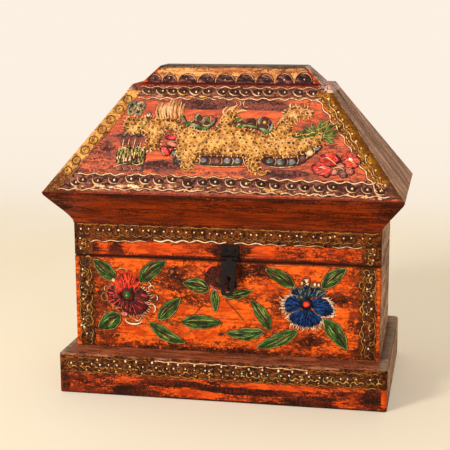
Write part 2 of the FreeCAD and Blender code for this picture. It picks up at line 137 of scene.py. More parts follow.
class Graph:
    """Builds one material's node tree."""

    def __init__(self, name: str) -> None:
        """Start an empty tree under a name."""
        self.material = bpy.data.materials.new(name)
        self.material.use_nodes = True
        self.tree = self.material.node_tree
        self.tree.nodes.clear()
        self.place = self.output(self.node("ShaderNodeTexCoord", {}, {}), "Object")
        split = self.node("ShaderNodeSeparateXYZ", {}, {0: self.scaled((1.0 / MM,) * 3)})
        self.x, self.y, self.z = (self.output(split, i) for i in range(3))

    def node(self, kind: str, settings: dict, inputs: dict) -> bpy.types.Node:
        """Add a node, set its options and then its inputs.

        Args:
            kind: The node's type.
            settings: Its options.
            inputs: A value or a signal for each socket.

        Returns:
            The node.
        """
        node = self.tree.nodes.new(kind)
        for key, value in settings.items():
            setattr(node, key, value)
        for key, value in inputs.items():
            if isinstance(value, Signal):
                self.tree.links.new(value.socket, node.inputs[key])
            else:
                node.inputs[key].default_value = light(value) if isinstance(value, str) else value
        return node

    def output(self, node: bpy.types.Node, key: Union[int, str] = 0) -> Signal:
        """Take one output of a node."""
        return Signal(self, node.outputs[key])

    def maths(self, operation: str, *values: Value) -> Signal:
        """Combine values with one Math node."""
        node = self.node("ShaderNodeMath", {"operation": operation}, dict(enumerate(values)))
        return self.output(node)

    def scaled(self, factors: Sequence[float], shift: Sequence[float] = (0.0, 0.0, 0.0)) -> Signal:
        """Stretch and shift the object's coordinates along each axis."""
        node = self.node("ShaderNodeMapping", {}, {0: self.place, 1: tuple(shift), 3: tuple(factors)})
        return self.output(node)

    def noise(self, factors: Sequence[float], detail: float = 4.0, rough: float = 0.6, shift: float = 0.0,
            bend: float = 0.0) -> Signal:
        """Give noise.

        Args:
            factors: How many grains it has to the metre along each axis.
            detail: How many finer layers it has.
            rough: How strong those are.
            shift: Moves the pattern.
            bend: Twists the pattern.

        Returns:
            The noise, from 0 to 1.
        """
        node = self.node("ShaderNodeTexNoise", {},
            {"Vector": self.scaled(factors, (shift, shift * 1.7, shift * 0.6)), "Scale": 1.0,
            "Detail": detail, "Roughness": rough, "Distortion": bend})
        return self.output(node)

    def attribute(self, name: str) -> Signal:
        """Read a number kept on the mesh."""
        return self.output(self.node("ShaderNodeAttribute", {"attribute_name": name}, {}), "Fac")

    def mix(self, share: Value, first: Hue, second: Hue) -> Signal:
        """Mix two colours, by how much of the second shows."""
        node = self.node("ShaderNodeMix", {"data_type": "RGBA"}, {0: share, 6: first, 7: second})
        return self.output(node, 2)

    def zones(self, patches: Sequence[Patch], upwards: Signal, ground: float) -> Signal:
        """Add up patches of more and of less wear on a face.

        Args:
            patches: The patches, in millimetres.
            upwards: The coordinate up the face, where x runs across it.
            ground: The weight away from every patch.

        Returns:
            The weight of the wear.
        """
        flat = self.output(self.node("ShaderNodeCombineXYZ", {}, {0: self.x, 1: upwards}))
        total: Value = ground
        for u, v, wide, tall, weight in patches:
            near = self.node("ShaderNodeMapping", {},
                {0: flat, 1: (-u / wide, -v / tall, 0.0), 3: (1.0 / wide, 1.0 / tall, 0.0)})
            away = self.node("ShaderNodeVectorMath", {"operation": "LENGTH"}, {0: self.output(near)})
            total = self.output(away, "Value").step(0.35, 1.1, weight, 0.0) + total
        return total

    def shader(self, colour: Signal, roughness: Value, height: Signal, depth: float, metallic: float = 0.0,
            specular: float = 0.08) -> Signal:
        """Make a shader with a bump.

        Args:
            colour: The surface's colour.
            roughness: How dull it is.
            height: The bump's height.
            depth: The bump's depth in metres.
            metallic: How much of a metal it is.
            specular: How strong its shine is.

        Returns:
            The shader.
        """
        bump = self.node("ShaderNodeBump", {}, {"Strength": 1.0, "Distance": depth, "Height": height})
        return self.output(self.node("ShaderNodeBsdfPrincipled", {},
            {"Base Color": colour, "Roughness": roughness, "Metallic": metallic,
            "Specular IOR Level": specular, "Normal": self.output(bump)}))

    def finish(self, shader: Signal) -> bpy.types.Material:
        """Close the tree with a shader."""
        self.node("ShaderNodeOutputMaterial", {}, {"Surface": shader})
        return self.material


@dataclass(frozen=True)
class OldPaint:
    """How an old coat of paint on wood looks."""

    bright: Colour
    deep: Colour
    worn: Colour
    bare: Colour
    amount: float
    streak: tuple[float, float, float]


@dataclass(frozen=True)
class Pigment:
    """The paint of one kind of relief: dark is painted shade at each shape's foot and rubbed paint, light a
    painted highlight on its top.
    """

    name: str
    main: Colour
    dark: Colour
    light: Colour
    wear: float


CREAM = Pigment("cream", "#c08458", "#542c1a", "#fcd6a8", 0.28)
SHADE = Pigment("shade", "#30160c", "#180b07", "#542e1e", 0.2)
CRIMSON = Pigment("crimson", "#b01a28", "#3c0810", "#ec5850", 0.28)
MOSS = Pigment("moss", "#786a32", "#322a14", "#d2c474", 0.32)
DOT = Pigment("dot", "#e2b482", "#5c2e1a", "#ffeece", 0.16)
GOLD = Pigment("gold", "#c48238", "#5c3214", "#eeb868", 0.28)
BRIGHT_GOLD = Pigment("bright_gold", "#d89c4a", "#7a461c", "#f8cc7c", 0.20)
AMBER = Pigment("amber", "#cc864a", "#703a1e", "#f2be86", 0.28)
OLIVE = Pigment("olive", "#78440f", "#261206", "#c0883a", 0.38)
GREEN = Pigment("green", "#2e5e1e", "#20240c", "#72924a", 0.33)
GRASS = Pigment("grass", "#5c7e2c", "#283414", "#b0ba62", 0.30)
LEAF_EDGE = Pigment("leaf_edge", "#745626", "#2e1c0c", "#baa464", 0.40)
TEAL = Pigment("teal", "#525a46", "#262620", "#a4b08a", 0.35)
SLATE = Pigment("slate", "#423a3e", "#22181a", "#8c8282", 0.35)
RED = Pigment("red", "#e42e18", "#4a0808", "#ff5c38", 0.25)
PINK = Pigment("pink", "#b65846", "#5a221e", "#e49c82", 0.38)
MAROON = Pigment("maroon", "#3a0a0e", "#100407", "#70181a", 0.15)
BLUE = Pigment("blue", "#021c56", "#020512", "#083880", 0.2)
NIGHT = Pigment("night", "#050b1e", "#020309", "#0c1e42", 0.1)
SKY = Pigment("sky", "#0a3274", "#030d2a", "#30689c", 0.25)
ROOF_DOT = Pigment("blush", "#be7c60", "#683a2c", "#f0b892", 0.30)
INK = Pigment("ink", "#182828", "#080c0d", "#425650", 0.15)
BROWN = Pigment("brown", "#68361e", "#2c140a", "#aa6a42", 0.35)
PLUM = Pigment("plum", "#5e3630", "#281212", "#a66c60", 0.32)


def relief_material(pigment: Pigment) -> bpy.types.Material:
    """Make the paint of a relief: painted shade at each shape's foot, a painted highlight on its top,
    mottling and rubbed paint.

    Args:
        pigment: Its colours and wear.

    Returns:
        The material.
    """
    graph = Graph("relief_" + pigment.name)
    shading_and_tone, pick = graph.attribute("shading_and_tone"), graph.attribute("pick")
    coarse = graph.noise((160, 160, 160), 3.0, 0.6, 3.0)
    fine = graph.noise((900, 900, 900), 3.0, 0.7, 9.0)
    # Low places on each shape turn to the dark colour as painted shade, high places to the light colour as a
    # painted highlight.
    shade = shading_and_tone * 0.9 + (coarse - 0.5) * 1.5 + (pick - 0.5) * 0.25 + (fine - 0.5) * 0.8
    colour = graph.mix(shade.step(0.15, 0.70), pigment.dark, pigment.main)
    colour = graph.mix(shade.step(0.62, 1.02), colour, pigment.light)
    worn = (coarse * 0.6 + fine * 0.5 + pick * 0.1).step(0.84 - pigment.wear * 0.55,
        0.98 - pigment.wear * 0.55)
    colour = graph.mix(worn * 0.75, colour, pigment.dark)
    height = fine * 0.6 + coarse * 0.4 - worn * 0.5
    dull = 0.45 + worn * 0.25 + fine * 0.1
    return graph.finish(graph.shader(colour, dull, height, 0.25 * MM, specular=0.16))


class Weather:
    """Paints a board coat by coat: old paint, worn streaks, bare wood inside."""

    colour: Signal
    worn: Signal  # how far the paint has gone

    def __init__(self, name: str, seed: float) -> None:
        """Start a finish under a name."""
        self.graph, self.seed = Graph(name), seed

    def coat(self, paint: OldPaint, zones: Value, seed: float) -> tuple[Signal, Signal]:
        """Mix one coat of old paint: bright, then rubbed through to brown, then dark.

        Args:
            paint: The coat's colours and wear.
            zones: Weights for more or less wear.
            seed: Shifts the pattern.

        Returns:
            The colour, and how far the paint has gone.
        """
        graph, shift = self.graph, self.seed + seed
        grain = graph.noise(paint.streak, 5.0, 0.72, shift)
        speck = graph.noise((520, 520, 620), 3.0, 0.7, shift + 4.0)
        broad = graph.noise([f * 0.2 for f in paint.streak], 3.0, 0.6, shift + 8.0)
        tint = graph.noise([f * 0.3 for f in paint.streak], 4.0, 0.6, shift + 12.0)
        scratch = graph.noise((paint.streak[0] * 0.22, paint.streak[1] * 0.5, paint.streak[2] * 2.4), 3.0,
            0.6, shift + 16.0)
        field = grain + speck * 0.9 + broad * 0.6 + zones * 0.34 + (paint.amount - 1.42)
        colour = graph.mix((tint + (grain - 0.5) * 0.8).step(0.38, 0.62), paint.bright, paint.deep)
        colour = graph.mix((speck + field * 0.8).step(0.42, 0.66) * 0.75, colour, paint.deep)
        colour = graph.mix(scratch.step(0.57, 0.63) * 0.8, colour, paint.worn)
        colour = graph.mix(field.step(-0.12, 0.05) * 0.85, colour, paint.worn)
        bare = graph.mix((speck + (tint - 0.5) * 0.7).step(0.44, 0.66), paint.bare, paint.worn)
        worn = field.step(0.0, 0.13)
        return graph.mix(worn, colour, bare), worn

    def ground(self, paint: OldPaint, zones: Value = 0.0) -> None:
        """Lay the first coat, with weights for more or less wear."""
        self.colour, self.worn = self.coat(paint, zones, 0.0)

    def over(self, share: Signal, paint: OldPaint, zones: Value = 0.0, seed: float = 40.0) -> None:
        """Lay another paint over a share of the board.

        Args:
            share: Where it lies.
            paint: The paint.
            zones: Weights for more or less wear.
            seed: Shifts its pattern.
        """
        colour, worn = self.coat(paint, zones, seed)
        self.stain(share, colour)
        self.worn = self.worn + (worn - self.worn) * share

    def stain(self, share: Signal, colour: Hue) -> None:
        """Lay one colour over a share of the board."""
        self.colour = self.graph.mix(share, self.colour, colour)

    def ragged(self, grain: float, reach: float, detail: float = 2.0) -> Signal:
        """Give a wandering length up to a reach in millimetres, with so many turns to the metre."""
        return self.graph.noise((grain, grain, grain), detail, 0.6, 51.0) * reach

    def beyond(self, half_width: float) -> Signal:
        """Find the faces that lie beyond a half width, on the left and on the right."""
        return (abs(self.graph.x) - half_width).step(-0.25, 0.02)

    def plain_faces(self, half_width: float, back: float) -> None:
        """Turn to plain old wood on the faces beyond a half width and behind a depth."""
        rear = self.graph.y.step(back - 0.4, back)
        self.over(self.beyond(half_width).max(rear), SIDE, seed=60.0)

    def lining(self, inside: Optional[Signal] = None) -> None:
        """Show bare wood on the inner faces: a given share, or all that lies within the walls."""
        if inside is None:
            outer = (abs(self.graph.x) - WALL_HALF_WIDTH).max(abs(self.graph.y) - WALL_HALF_DEPTH)
            inside = outer.fade(-0.9, -0.3)
        self.stain(inside, self.wood("#845c3e", "#4e3222", (18, 40, 260)))

    def wood(self, pale: Colour, dark: Colour, along: Sequence[float]) -> Signal:
        """Give bare old wood of two colours, with so many grains to the metre along each axis."""
        grain = self.graph.noise(along, 6.0, 0.65, self.seed + 20.0, 0.4)
        fleck = self.graph.noise([a * 3.0 for a in along], 3.0, 0.6, self.seed + 24.0)
        return self.graph.mix((grain * 0.7 + fleck * 0.4).step(0.36, 0.74), dark, pale)

    def close(self, rough: float = 0.55, along: Sequence[float] = (30, 90, 520),
            depth: float = 0.35) -> bpy.types.Material:
        """Add the grain's relief and close the material.

        Args:
            rough: How dull the paint is.
            along: The grain, to the metre along each axis.
            depth: How deep the grain is, in millimetres.

        Returns:
            The material.
        """
        grain = self.graph.noise(along, 5.0, 0.7, self.seed + 31.0, 0.3)
        pits = self.graph.noise((700, 700, 700), 3.0, 0.7, self.seed + 35.0)
        height = grain * 0.8 + pits * 0.35
        dull = rough + self.worn * 0.2 + pits * 0.12 - 0.06
        return self.graph.finish(self.graph.shader(self.colour, dull, height, depth * MM))


ORANGE = OldPaint("#f86a1a", "#c8440e", "#7c3216", "#2e140b", 0.09, (190, 260, 400))
ROOF_ORANGE = OldPaint("#ee703e", "#be523a", "#925042", "#3e2626", 0.09, (110, 260, 460))
RED_ORANGE = OldPaint("#e65614", "#ac340c", "#6c2812", "#28120b", 0.10, (110, 220, 460))
BORDER = OldPaint("#8c4612", "#54260a", "#381807", "#160903", 0.15, (300, 360, 360))
ROOF_BORDER = OldPaint("#a0624e", "#6c3c30", "#4a2820", "#261410", 0.13, (240, 240, 420))
GILT = OldPaint("#e8ae5c", "#c88a42", "#92582c", "#502e18", 0.09, (260, 260, 320))
OLD_GILT = OldPaint("#be7a16", "#864c0a", "#5a320c", "#2a1606", 0.10, (200, 200, 300))
CAP_GILT = OldPaint("#f0ac68", "#c2703e", "#844a2c", "#362014", 0.10, (90, 200, 300))
TOP_RED = OldPaint("#ce3e16", "#841e0c", "#602214", "#2c100a", 0.0, (70, 160, 340))
CROWN = OldPaint("#78624e", "#584638", "#44342a", "#2a1e18", 0.04, (60, 120, 420))
COVE = OldPaint("#92340a", "#66240a", "#4a1a09", "#2a1007", 0.08, (60, 200, 640))
SIDE = OldPaint("#d2a27c", "#966d4e", "#684a36", "#3e2d22", 0.12, (40, 40, 300))
ENDS = OldPaint("#e2ac8e", "#a6785e", "#785642", "#423026", 0.12, (36, 300, 36))
LEDGE = OldPaint("#b86842", "#80462e", "#603626", "#301d15", 0.12, (60, 260, 260))


def put_on(finish: bpy.types.Material, *names: str) -> None:
    """Give carried-over nodes a finish, where {} in a name stands for each side in turn."""
    for name in names:
        for whole in [name.format(face.value) for face in Face] if "{}" in name else [name]:
            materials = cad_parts[whole].data.materials
            materials.clear()
            materials.append(finish)
            log.info("%s: %s", whole, finish.name)


def iron_material(name: str, main: Colour, rust: Colour, seed: float) -> bpy.types.Material:
    """Make forged iron with scale and a little rust.

    Args:
        name: The finish's name.
        main: The iron's colour.
        rust: The rust's colour.
        seed: Shifts the pattern.

    Returns:
        The material.
    """
    graph = Graph(name)
    scale = graph.noise((220, 220, 220), 4.0, 0.6, seed)
    fine = graph.noise((1100, 1100, 1100), 3.0, 0.7, seed + 5.0)
    colour = graph.mix((scale * 0.7 + fine * 0.4).step(0.58, 0.78), main, rust)
    dents = graph.noise((130, 130, 130), 2.0, 0.5, seed + 9.0)
    dull, height = 0.5 + fine * 0.28, dents * 0.8 + fine * 0.25
    return graph.finish(graph.shader(colour, dull, height, 0.35 * MM, 0.1, 0.14))


def smooth(points: Line, closed: bool, step: float) -> np.ndarray:
    """Run a smooth line through points and divide it evenly.

    Args:
        points: Places on the panel in millimetres: pairs, or one row of across, up, across, up.
        closed: True if the line ends where it starts.
        step: The distance between the new points.

    Returns:
        The points of the line.
    """
    known = np.array(points, float).reshape(-1, 2)
    count = len(known)
    pieces = []
    for i in range(count if closed else count - 1):
        p1, p2 = known[i], known[(i + 1) % count]
        p0 = known[(i - 1) % count] if closed or i else p1 * 2 - p2
        p3 = known[(i + 2) % count] if closed or i + 2 < count else p2 * 2 - p1
        t = np.linspace(0.0, 1.0, 12, endpoint=False)[:, None]
        pieces.append(0.5 * (2 * p1 + (p2 - p0) * t + (2 * p0 - 5 * p1 + 4 * p2 - p3) * t ** 2
            + (3 * p1 - p0 - 3 * p2 + p3) * t ** 3))
    pieces.append(known[:1] if closed else known[-1:])
    line = np.vstack(pieces)
    run = np.concatenate([[0.0], np.cumsum(np.linalg.norm(np.diff(line, axis=0), axis=1))])
    total = max(3 if closed else 2, int(round(run[-1] / step)) + 1)
    where = np.linspace(0.0, run[-1], total + 1 if closed else total)
    even = np.column_stack([np.interp(where, run, line[:, k]) for k in range(2)])
    return even[:-1] if closed else even


def oval(centre: Point, radius: Union[float, np.ndarray], stretch: float, tilt: float,
        angles: np.ndarray) -> np.ndarray:
    """Find the points of a tilted oval at some angles, in radians; the stretch is its height by its width."""
    u, v = radius * np.cos(angles), radius * stretch * np.sin(angles)
    turn = math.radians(tilt)
    return np.column_stack([centre[0] + u * math.cos(turn) - v * math.sin(turn),
        centre[1] + u * math.sin(turn) + v * math.cos(turn)])


def ring_points(centre: Point, radius: float, stretch: float = 1.0, start: float = 0.0, end: float = 360.0,
        tilt: float = 0.0) -> np.ndarray:
    """List points on a circle, an ellipse or an arc.

    Args:
        centre: Its middle.
        radius: Its reach across.
        stretch: Its reach up, as a share of that.
        start: Where the arc starts, in degrees.
        end: Where it ends.
        tilt: How far the whole is turned, in degrees.

    Returns:
        The points.
    """
    whole = abs(end - start) >= 360.0
    count = max(6, int(abs(end - start) / 30) + (0 if whole else 1))
    angles = np.radians(np.linspace(start, end, count, endpoint=not whole))
    return oval(centre, radius, stretch, tilt, angles)


def left_of(way: np.ndarray) -> np.ndarray:
    """Turn one direction, or many, a quarter to the left."""
    return np.stack([-way[..., 1], way[..., 0]], axis=-1)


def headings(line: np.ndarray, closed: bool = True) -> np.ndarray:
    """Find the unit direction of a line, closed or open, at each of its points."""
    way = np.roll(line, -1, axis=0) - np.roll(line, 1, axis=0) if closed else np.gradient(line, axis=0)
    return way / np.maximum(np.linalg.norm(way, axis=1), 1e-9)[:, None]


def grid_faces(rows: int, columns: int, closed: bool = False) -> list[tuple[int, ...]]:
    """List the faces between rows of points.

    Args:
        rows: How many rows there are.
        columns: How many points each has.
        closed: True if the last row joins the first.

    Returns:
        The numbers of each face's points.
    """
    starts = [(i * columns + k, (i + 1) % rows * columns + k) for i in range(rows if closed else rows - 1)
        for k in range(columns - 1)]
    return [(here, there, there + 1, here + 1) for here, there in starts]


def distance_to(points: np.ndarray, line: np.ndarray) -> np.ndarray:
    """Measure from each point to a closed line.

    Args:
        points: The points.
        line: The line's points.

    Returns:
        The distances.
    """
    start, end = line, np.roll(line, -1, axis=0)
    way = end - start
    length = np.maximum((way ** 2).sum(1), 1e-12)
    best = np.full(len(points), np.inf)
    for first in range(0, len(points), 4000):
        part = points[first:first + 4000, None, :] - start[None]
        share = np.clip((part * way[None]).sum(2) / length, 0.0, 1.0)
        gap = np.linalg.norm(part - share[..., None] * way[None], axis=2)
        best[first:first + 4000] = gap.min(1)
    return best


def is_inside(points: np.ndarray, line: np.ndarray) -> np.ndarray:
    """Tell which points lie inside a closed line."""
    x, y = points[:, 0:1], points[:, 1:2]
    x0, y0 = line[:, 0][None], line[:, 1][None]
    x1, y1 = np.roll(line[:, 0], -1)[None], np.roll(line[:, 1], -1)[None]
    cross = ((y0 > y) != (y1 > y)) & (x < (x1 - x0) * (y - y0) / np.where(y1 == y0, 1e-9, y1 - y0) + x0)
    return cross.sum(1) % 2 == 1


def mottle(places: np.ndarray, across: float, upwards: float, seed: float) -> np.ndarray:
    """Give soft noise round 0 at places on a panel, with so many turns to the millimetre."""
    return np.array([noise.noise(Vector((u * across, v * upwards, seed))) for u, v in places])


def new_piece(name: str, points: Sequence, faces: Sequence, finish: bpy.types.Material) -> bpy.types.Object:
    """Make a smooth piece.

    Args:
        name: Its name.
        points: Its points in metres.
        faces: The numbers of each face's points.
        finish: Its material.

    Returns:
        The object.
    """
    mesh = bpy.data.meshes.new(name)
    mesh.from_pydata([tuple(p) for p in points], [], faces)
    mesh.polygons.foreach_set("use_smooth", [True] * len(mesh.polygons))
    mesh.materials.append(finish)
    mesh.update()
    piece = bpy.data.objects.new(name, mesh)
    bpy.context.scene.collection.objects.link(piece)
    log.info("%s: %d faces", name, len(mesh.polygons))
    return piece


@dataclass(frozen=True)
class Panel:
    """A face that carries relief: its origin in millimetres, its way up, and what it rides on."""

    origin: tuple[float, float, float]
    up: tuple[float, float, float]
    half: Half

    def points(self, places: np.ndarray) -> np.ndarray:
        """Turn places across, up and out of the panel into points in metres."""
        across, up = np.array((1.0, 0.0, 0.0)), np.array(self.up) / np.linalg.norm(self.up)
        return (np.array(self.origin) + places @ np.stack([across, up, np.cross(across, up)])) * MM


@dataclass
class Sheet:
    """The mesh of one pigment on a panel, while it grows."""

    points: list[np.ndarray] = field(default_factory=list)
    faces: list[tuple[int, ...]] = field(default_factory=list)
    tones: list[np.ndarray] = field(default_factory=list)
    picks: list[np.ndarray] = field(default_factory=list)

    def add(self, places: np.ndarray, faces: Sequence[Sequence[int]], shading_and_tone: np.ndarray, pick: float) -> None:
        """Add a shape: its places, faces, each place's painted shading and tone, and a number of its own."""
        first = sum(len(p) for p in self.points)
        self.points.append(places)
        self.faces.extend([tuple(first + i for i in face) for face in faces])
        self.tones.append(np.asarray(shading_and_tone, float))
        self.picks.append(np.full(len(places), pick))


def near_share(middle: np.ndarray, way: np.ndarray, line: np.ndarray) -> float:
    """Find which share of the way from a flower's middle enters a petal's edge."""
    shares = np.linspace(0.1, 0.95, 18)
    inside = is_inside(middle + way * shares[:, None], line)
    return float(shares[inside][0]) if inside.any() else 0.9


class Relief:
    """Raised ornament on a panel: beads, dots, pads and leaves, one mesh for each pigment."""

    sink: ClassVar[float] = 0.25  # how far edges lie under the panel
    bead_rim: ClassVar[float] = 0.24  # how far the dark rims of beads and of dots stand out
    dome_rim: ClassVar[float] = 0.26
    materials: ClassVar[dict[str, bpy.types.Material]] = {}

    def __init__(self, name: str, panel: Panel, slot: str, seed: int) -> None:
        """Start the ornament of a panel.

        Args:
            name: What its pieces' names start with.
            panel: Where it lies.
            slot: The material slot of its pieces; not used.
            seed: Picks its random numbers.
        """
        self.name, self.panel, self.slot = name, panel, slot
        self.random = np.random.default_rng(seed)
        self.sheets: dict[Pigment, Sheet] = {}

    def any_of(self, paints: Sequence[Pigment]) -> Pigment:
        """Take one paint at random."""
        return paints[self.random.integers(len(paints))]

    def between(self, low: float, high: float) -> float:
        """Take a measure between two limits at random."""
        return self.random.uniform(low, high)

    def stray(self, reach: float = 1.0) -> float:
        """Take a measure round 0 at random."""
        return self.random.normal() * reach

    def chance(self, share: float) -> bool:
        """Say yes in a share of all cases."""
        return self.random.random() < share

    def add(self, pigment: Pigment, places: np.ndarray, faces: Sequence[Sequence[int]],
            shading_and_tone: np.ndarray) -> None:
        """Add a shape in a paint: its places, its faces, and the painted shading and tone of each place."""
        self.sheets.setdefault(pigment, Sheet()).add(places, faces, shading_and_tone, self.random.random())

    def bead(self, pigment: Pigment, points: Line, radius: float = 0.7, height: float = 0.0,
            closed: bool = False, long_taper: bool = False, base: float = 0.0, shade: float = 0.0) -> None:
        """Lay a half-round bead along a line.

        Args:
            pigment: Its paint.
            points: The line in millimetres.
            radius: Half its width.
            height: How far it stands out, or 0 for about its radius.
            closed: True for a ring.
            long_taper: True if it thins all the way to its ends, as a crescent does.
            base: The level that it stands on.
            shade: How far a dark rim shows on each side of it.
        """
        if shade:
            self.bead(SHADE, points, radius + shade, self.bead_rim, closed, long_taper, base)
        tall = height or radius * 0.95
        line = smooth(points, closed, max(0.45, radius * 0.9))
        if len(line) < 3:
            return
        way = headings(line, closed)
        normal = left_of(way)
        share = np.linspace(0.0, 1.0, len(line))
        run = share * len(line) * radius * 0.9
        if closed:
            size = np.ones(len(line))
        elif long_taper:
            size = np.maximum(np.sin(np.pi * share), 0.06) ** 0.6
        else:
            ends = np.minimum(run, run[-1] - run) / (1.3 * radius)
            size = np.sqrt(np.clip(ends, 0.05, 1.0))
        size = size * (1.0 + 0.13 * np.convolve(self.random.normal(size=len(line)), [0.3, 0.4, 0.3], "same"))
        profile = ((-1.0, 0.0), (-0.82, 0.56), (-0.34, 0.95), (0.34, 0.95), (0.82, 0.56), (1.0, 0.0))
        rows = []
        for a, b in profile:
            out = base + b * tall * size - (self.sink if b == 0.0 else 0.0)
            rows.append(np.column_stack([line + normal * (a * radius * size)[:, None], out]))
        # Each place's share of the bead's height sets its painted shade at the foot and its painted highlight
        # on top.
        shading_and_tone = np.tile([b for _, b in profile], len(line))
        self.add(pigment, np.stack(rows, axis=1).reshape(-1, 3), grid_faces(len(line), len(profile), closed),
            shading_and_tone)

    def stroke(self, pigment: Pigment, points: Line, radius: float = 0.7, height: float = 0.0,
            base: float = 0.0, shade: float = 0.0) -> None:
        """Lay a bead that thins to both its ends, and is otherwise as a bead."""
        self.bead(pigment, points, radius, height, False, True, base, shade)

    def curl(self, pigment: Pigment, centre: Point, reach: float, start: float, end: float,
            radius: float = 0.7, height: float = 0.0, stretch: float = 1.0, tilt: float = 0.0,
            base: float = 0.0, shade: float = 0.0) -> None:
        """Lay a stroke along an arc of a reach, from start to end in degrees."""
        self.stroke(pigment, ring_points(centre, reach, stretch, start, end, tilt), radius, height, base,
            shade)

    def ring(self, pigment: Pigment, centre: Point, reach: float, radius: float = 0.7, height: float = 0.0,
            stretch: float = 1.0, shade: float = 0.0) -> None:
        """Lay a bead round in a closed ring of a reach."""
        self.bead(pigment, ring_points(centre, reach, stretch), radius, height, closed=True, shade=shade)

    def dome(self, pigment: Pigment, centre: Point, radius: float, height: float = 0.0, stretch: float = 1.0,
            tilt: float = 0.0, base: float = 0.0, shade: float = 0.0) -> None:
        """Set a round or oval dot.

        Args:
            pigment: Its paint.
            centre: Its middle.
            radius: Its reach across.
            height: How far it stands out, or 0 for most of its radius.
            stretch: Its reach up, as a share of its reach across.
            tilt: How far it is turned, in degrees.
            base: The level that it stands on.
            shade: How wide a dark rim it has.
        """
        if shade:
            self.dome(SHADE, centre, radius + shade, self.dome_rim,
                (radius * stretch + shade) / (radius + shade), tilt, base)
        tall = height or radius * 0.8
        count = 10 if radius < 2.0 else 20
        levels = ((1.0, 0.0), (0.9, 0.48), (0.62, 0.82), (0.3, 0.96))
        angles = np.linspace(0.0, 2 * np.pi, count, endpoint=False)
        wobble = 1.0 + 0.06 * self.random.normal(size=count)
        places = [np.column_stack([oval(centre, a * radius * wobble, stretch, tilt, angles),
            np.full(count, base + (b * tall if b else -self.sink))]) for a, b in levels]
        places.append(np.array([[centre[0], centre[1], base + tall]]))
        # Each ring's share of the dot's height sets its painted shade at the foot and its painted highlight
        # on top.
        shading_and_tone = np.append(np.repeat([b for _, b in levels], count), 1.0)
        faces = [(k * count + i, k * count + (i + 1) % count, (k + 1) * count + (i + 1) % count,
            (k + 1) * count + i) for k in range(len(levels) - 1) for i in range(count)]
        last = (len(levels) - 1) * count
        faces += [(last + i, last + (i + 1) % count, last + count) for i in range(count)]
        self.add(pigment, np.vstack(places), faces, shading_and_tone)

    def pad(self, pigment: Pigment, outline: Line, height: float, edge: float = 1.2, spacing: float = 1.0,
            serrate: float = 0.0, shape: Optional[Shape] = None) -> None:
        """Raise a filled outline with rounded edges.

        Args:
            pigment: Its paint.
            outline: Its edge in millimetres.
            height: How far it stands out.
            edge: The width over which it rises.
            spacing: The size of its facets.
            serrate: How far its edge is jagged.
            shape: Turns places and their distance from the edge into added height, and into painted shading
                and tone.
        """
        line = smooth(outline, True, spacing * 0.8)
        if serrate:
            way = headings(line)
            teeth = serrate * (np.arange(len(line)) % 3 - 1) * self.random.uniform(0.4, 1.2, len(line))
            line = line - left_of(way) * teeth[:, None]
        low, high = line.min(0), line.max(0)
        us = np.arange(low[0], high[0], spacing)
        vs = np.arange(low[1], high[1], spacing * 0.87)
        grid = np.array([(u + (k % 2) * spacing / 2, v) for k, v in enumerate(vs) for u in us])
        grid = grid + self.random.uniform(-0.12, 0.12, grid.shape) * spacing
        grid = grid[is_inside(grid, line)]
        grid = grid[distance_to(grid, line) > spacing * 0.45] if len(grid) else np.zeros((0, 2))
        corners = [Vector(p) for p in np.vstack([line, grid])]
        loop = [(i, (i + 1) % len(line)) for i in range(len(line))]
        made = delaunay_2d_cdt(corners, loop, [], 1, 1e-5)
        flat = np.array([tuple(p) for p in made[0]], float)
        gap = distance_to(flat, line)
        rise = np.clip(gap / edge, 0.0, 1.0)
        out = height * np.sqrt(1.0 - (1.0 - rise) ** 2)
        # The rise from the edge sets painted shade at the pad's foot and a painted highlight on its top.
        shading_and_tone = rise.copy()
        if shape:
            extra, shading_and_tone = shape(flat, gap)
            out = out + extra * rise
        out[gap < spacing * 0.05] = -self.sink
        faces = []
        for a, b, c in made[2]:
            one, other = flat[b] - flat[a], flat[c] - flat[a]
            faces.append((a, b, c) if one[0] * other[1] > one[1] * other[0] else (a, c, b))
        self.add(pigment, np.column_stack([flat, out]), faces, shading_and_tone)

    def leaf(self, base: Point, tip: Point, width: float, bend: float = 0.0, height: float = 0.9,
            pigment: Pigment = GREEN) -> None:
        """Raise a leaf with midrib, side veins, brush strokes and a beaded edge.

        Args:
            base: Where its stalk joins.
            tip: Where it ends.
            width: Its greatest width.
            bend: How far its midrib bows to the side.
            height: How far it stands out.
            pigment: Its paint.
        """
        start, end = np.array(base, float), np.array(tip, float)
        way = end - start
        length = np.linalg.norm(way)
        way /= length
        side = left_of(way)
        rows, cols = max(10, int(length / 1.1)), 13
        t = np.linspace(0.0, 1.0, rows)
        half = width / 2 * (np.sin(np.pi * t ** 0.82) ** 0.78 + 0.02)
        half *= 1.0 + 0.05 * np.sin(t * 17 + self.random.random() * 6)
        spine = start + way * (t * length)[:, None] + side * (bend * 4 * t * (1 - t))[:, None]
        s = np.linspace(-1.0, 1.0, cols)
        flat = spine[:, None, :] + side * (s[None, :] * half[:, None])[..., None]
        dome = np.sqrt(np.clip(1.0 - np.abs(s) ** 2.4, 0.0, 1.0))[None, :] * np.ones((rows, 1))
        veins = np.sin((t[:, None] * length - np.abs(s)[None, :] * half[:, None] * 1.2) * 2 * np.pi / 3.4)
        groove = np.exp(-(s / 0.13) ** 2)[None, :]
        out = height * (0.25 + 0.75 * dome) + 0.10 * veins * (1 - groove) - 0.28 * groove
        out[:, 0] = out[:, -1] = -self.sink
        out[0, :] = out[-1, :] = -self.sink
        seed = self.between(0, 90)
        streaks = np.array([[noise.noise(Vector((a * length * 0.1, b * 6.0, seed))) for b in s] for a in t])
        shading_and_tone = 0.36 + 0.34 * np.abs(s)[None, :] ** 1.5 + 0.10 * veins + 0.62 * streaks - 0.30 * groove
        places = np.concatenate([flat, out[..., None]], axis=2).reshape(-1, 3)
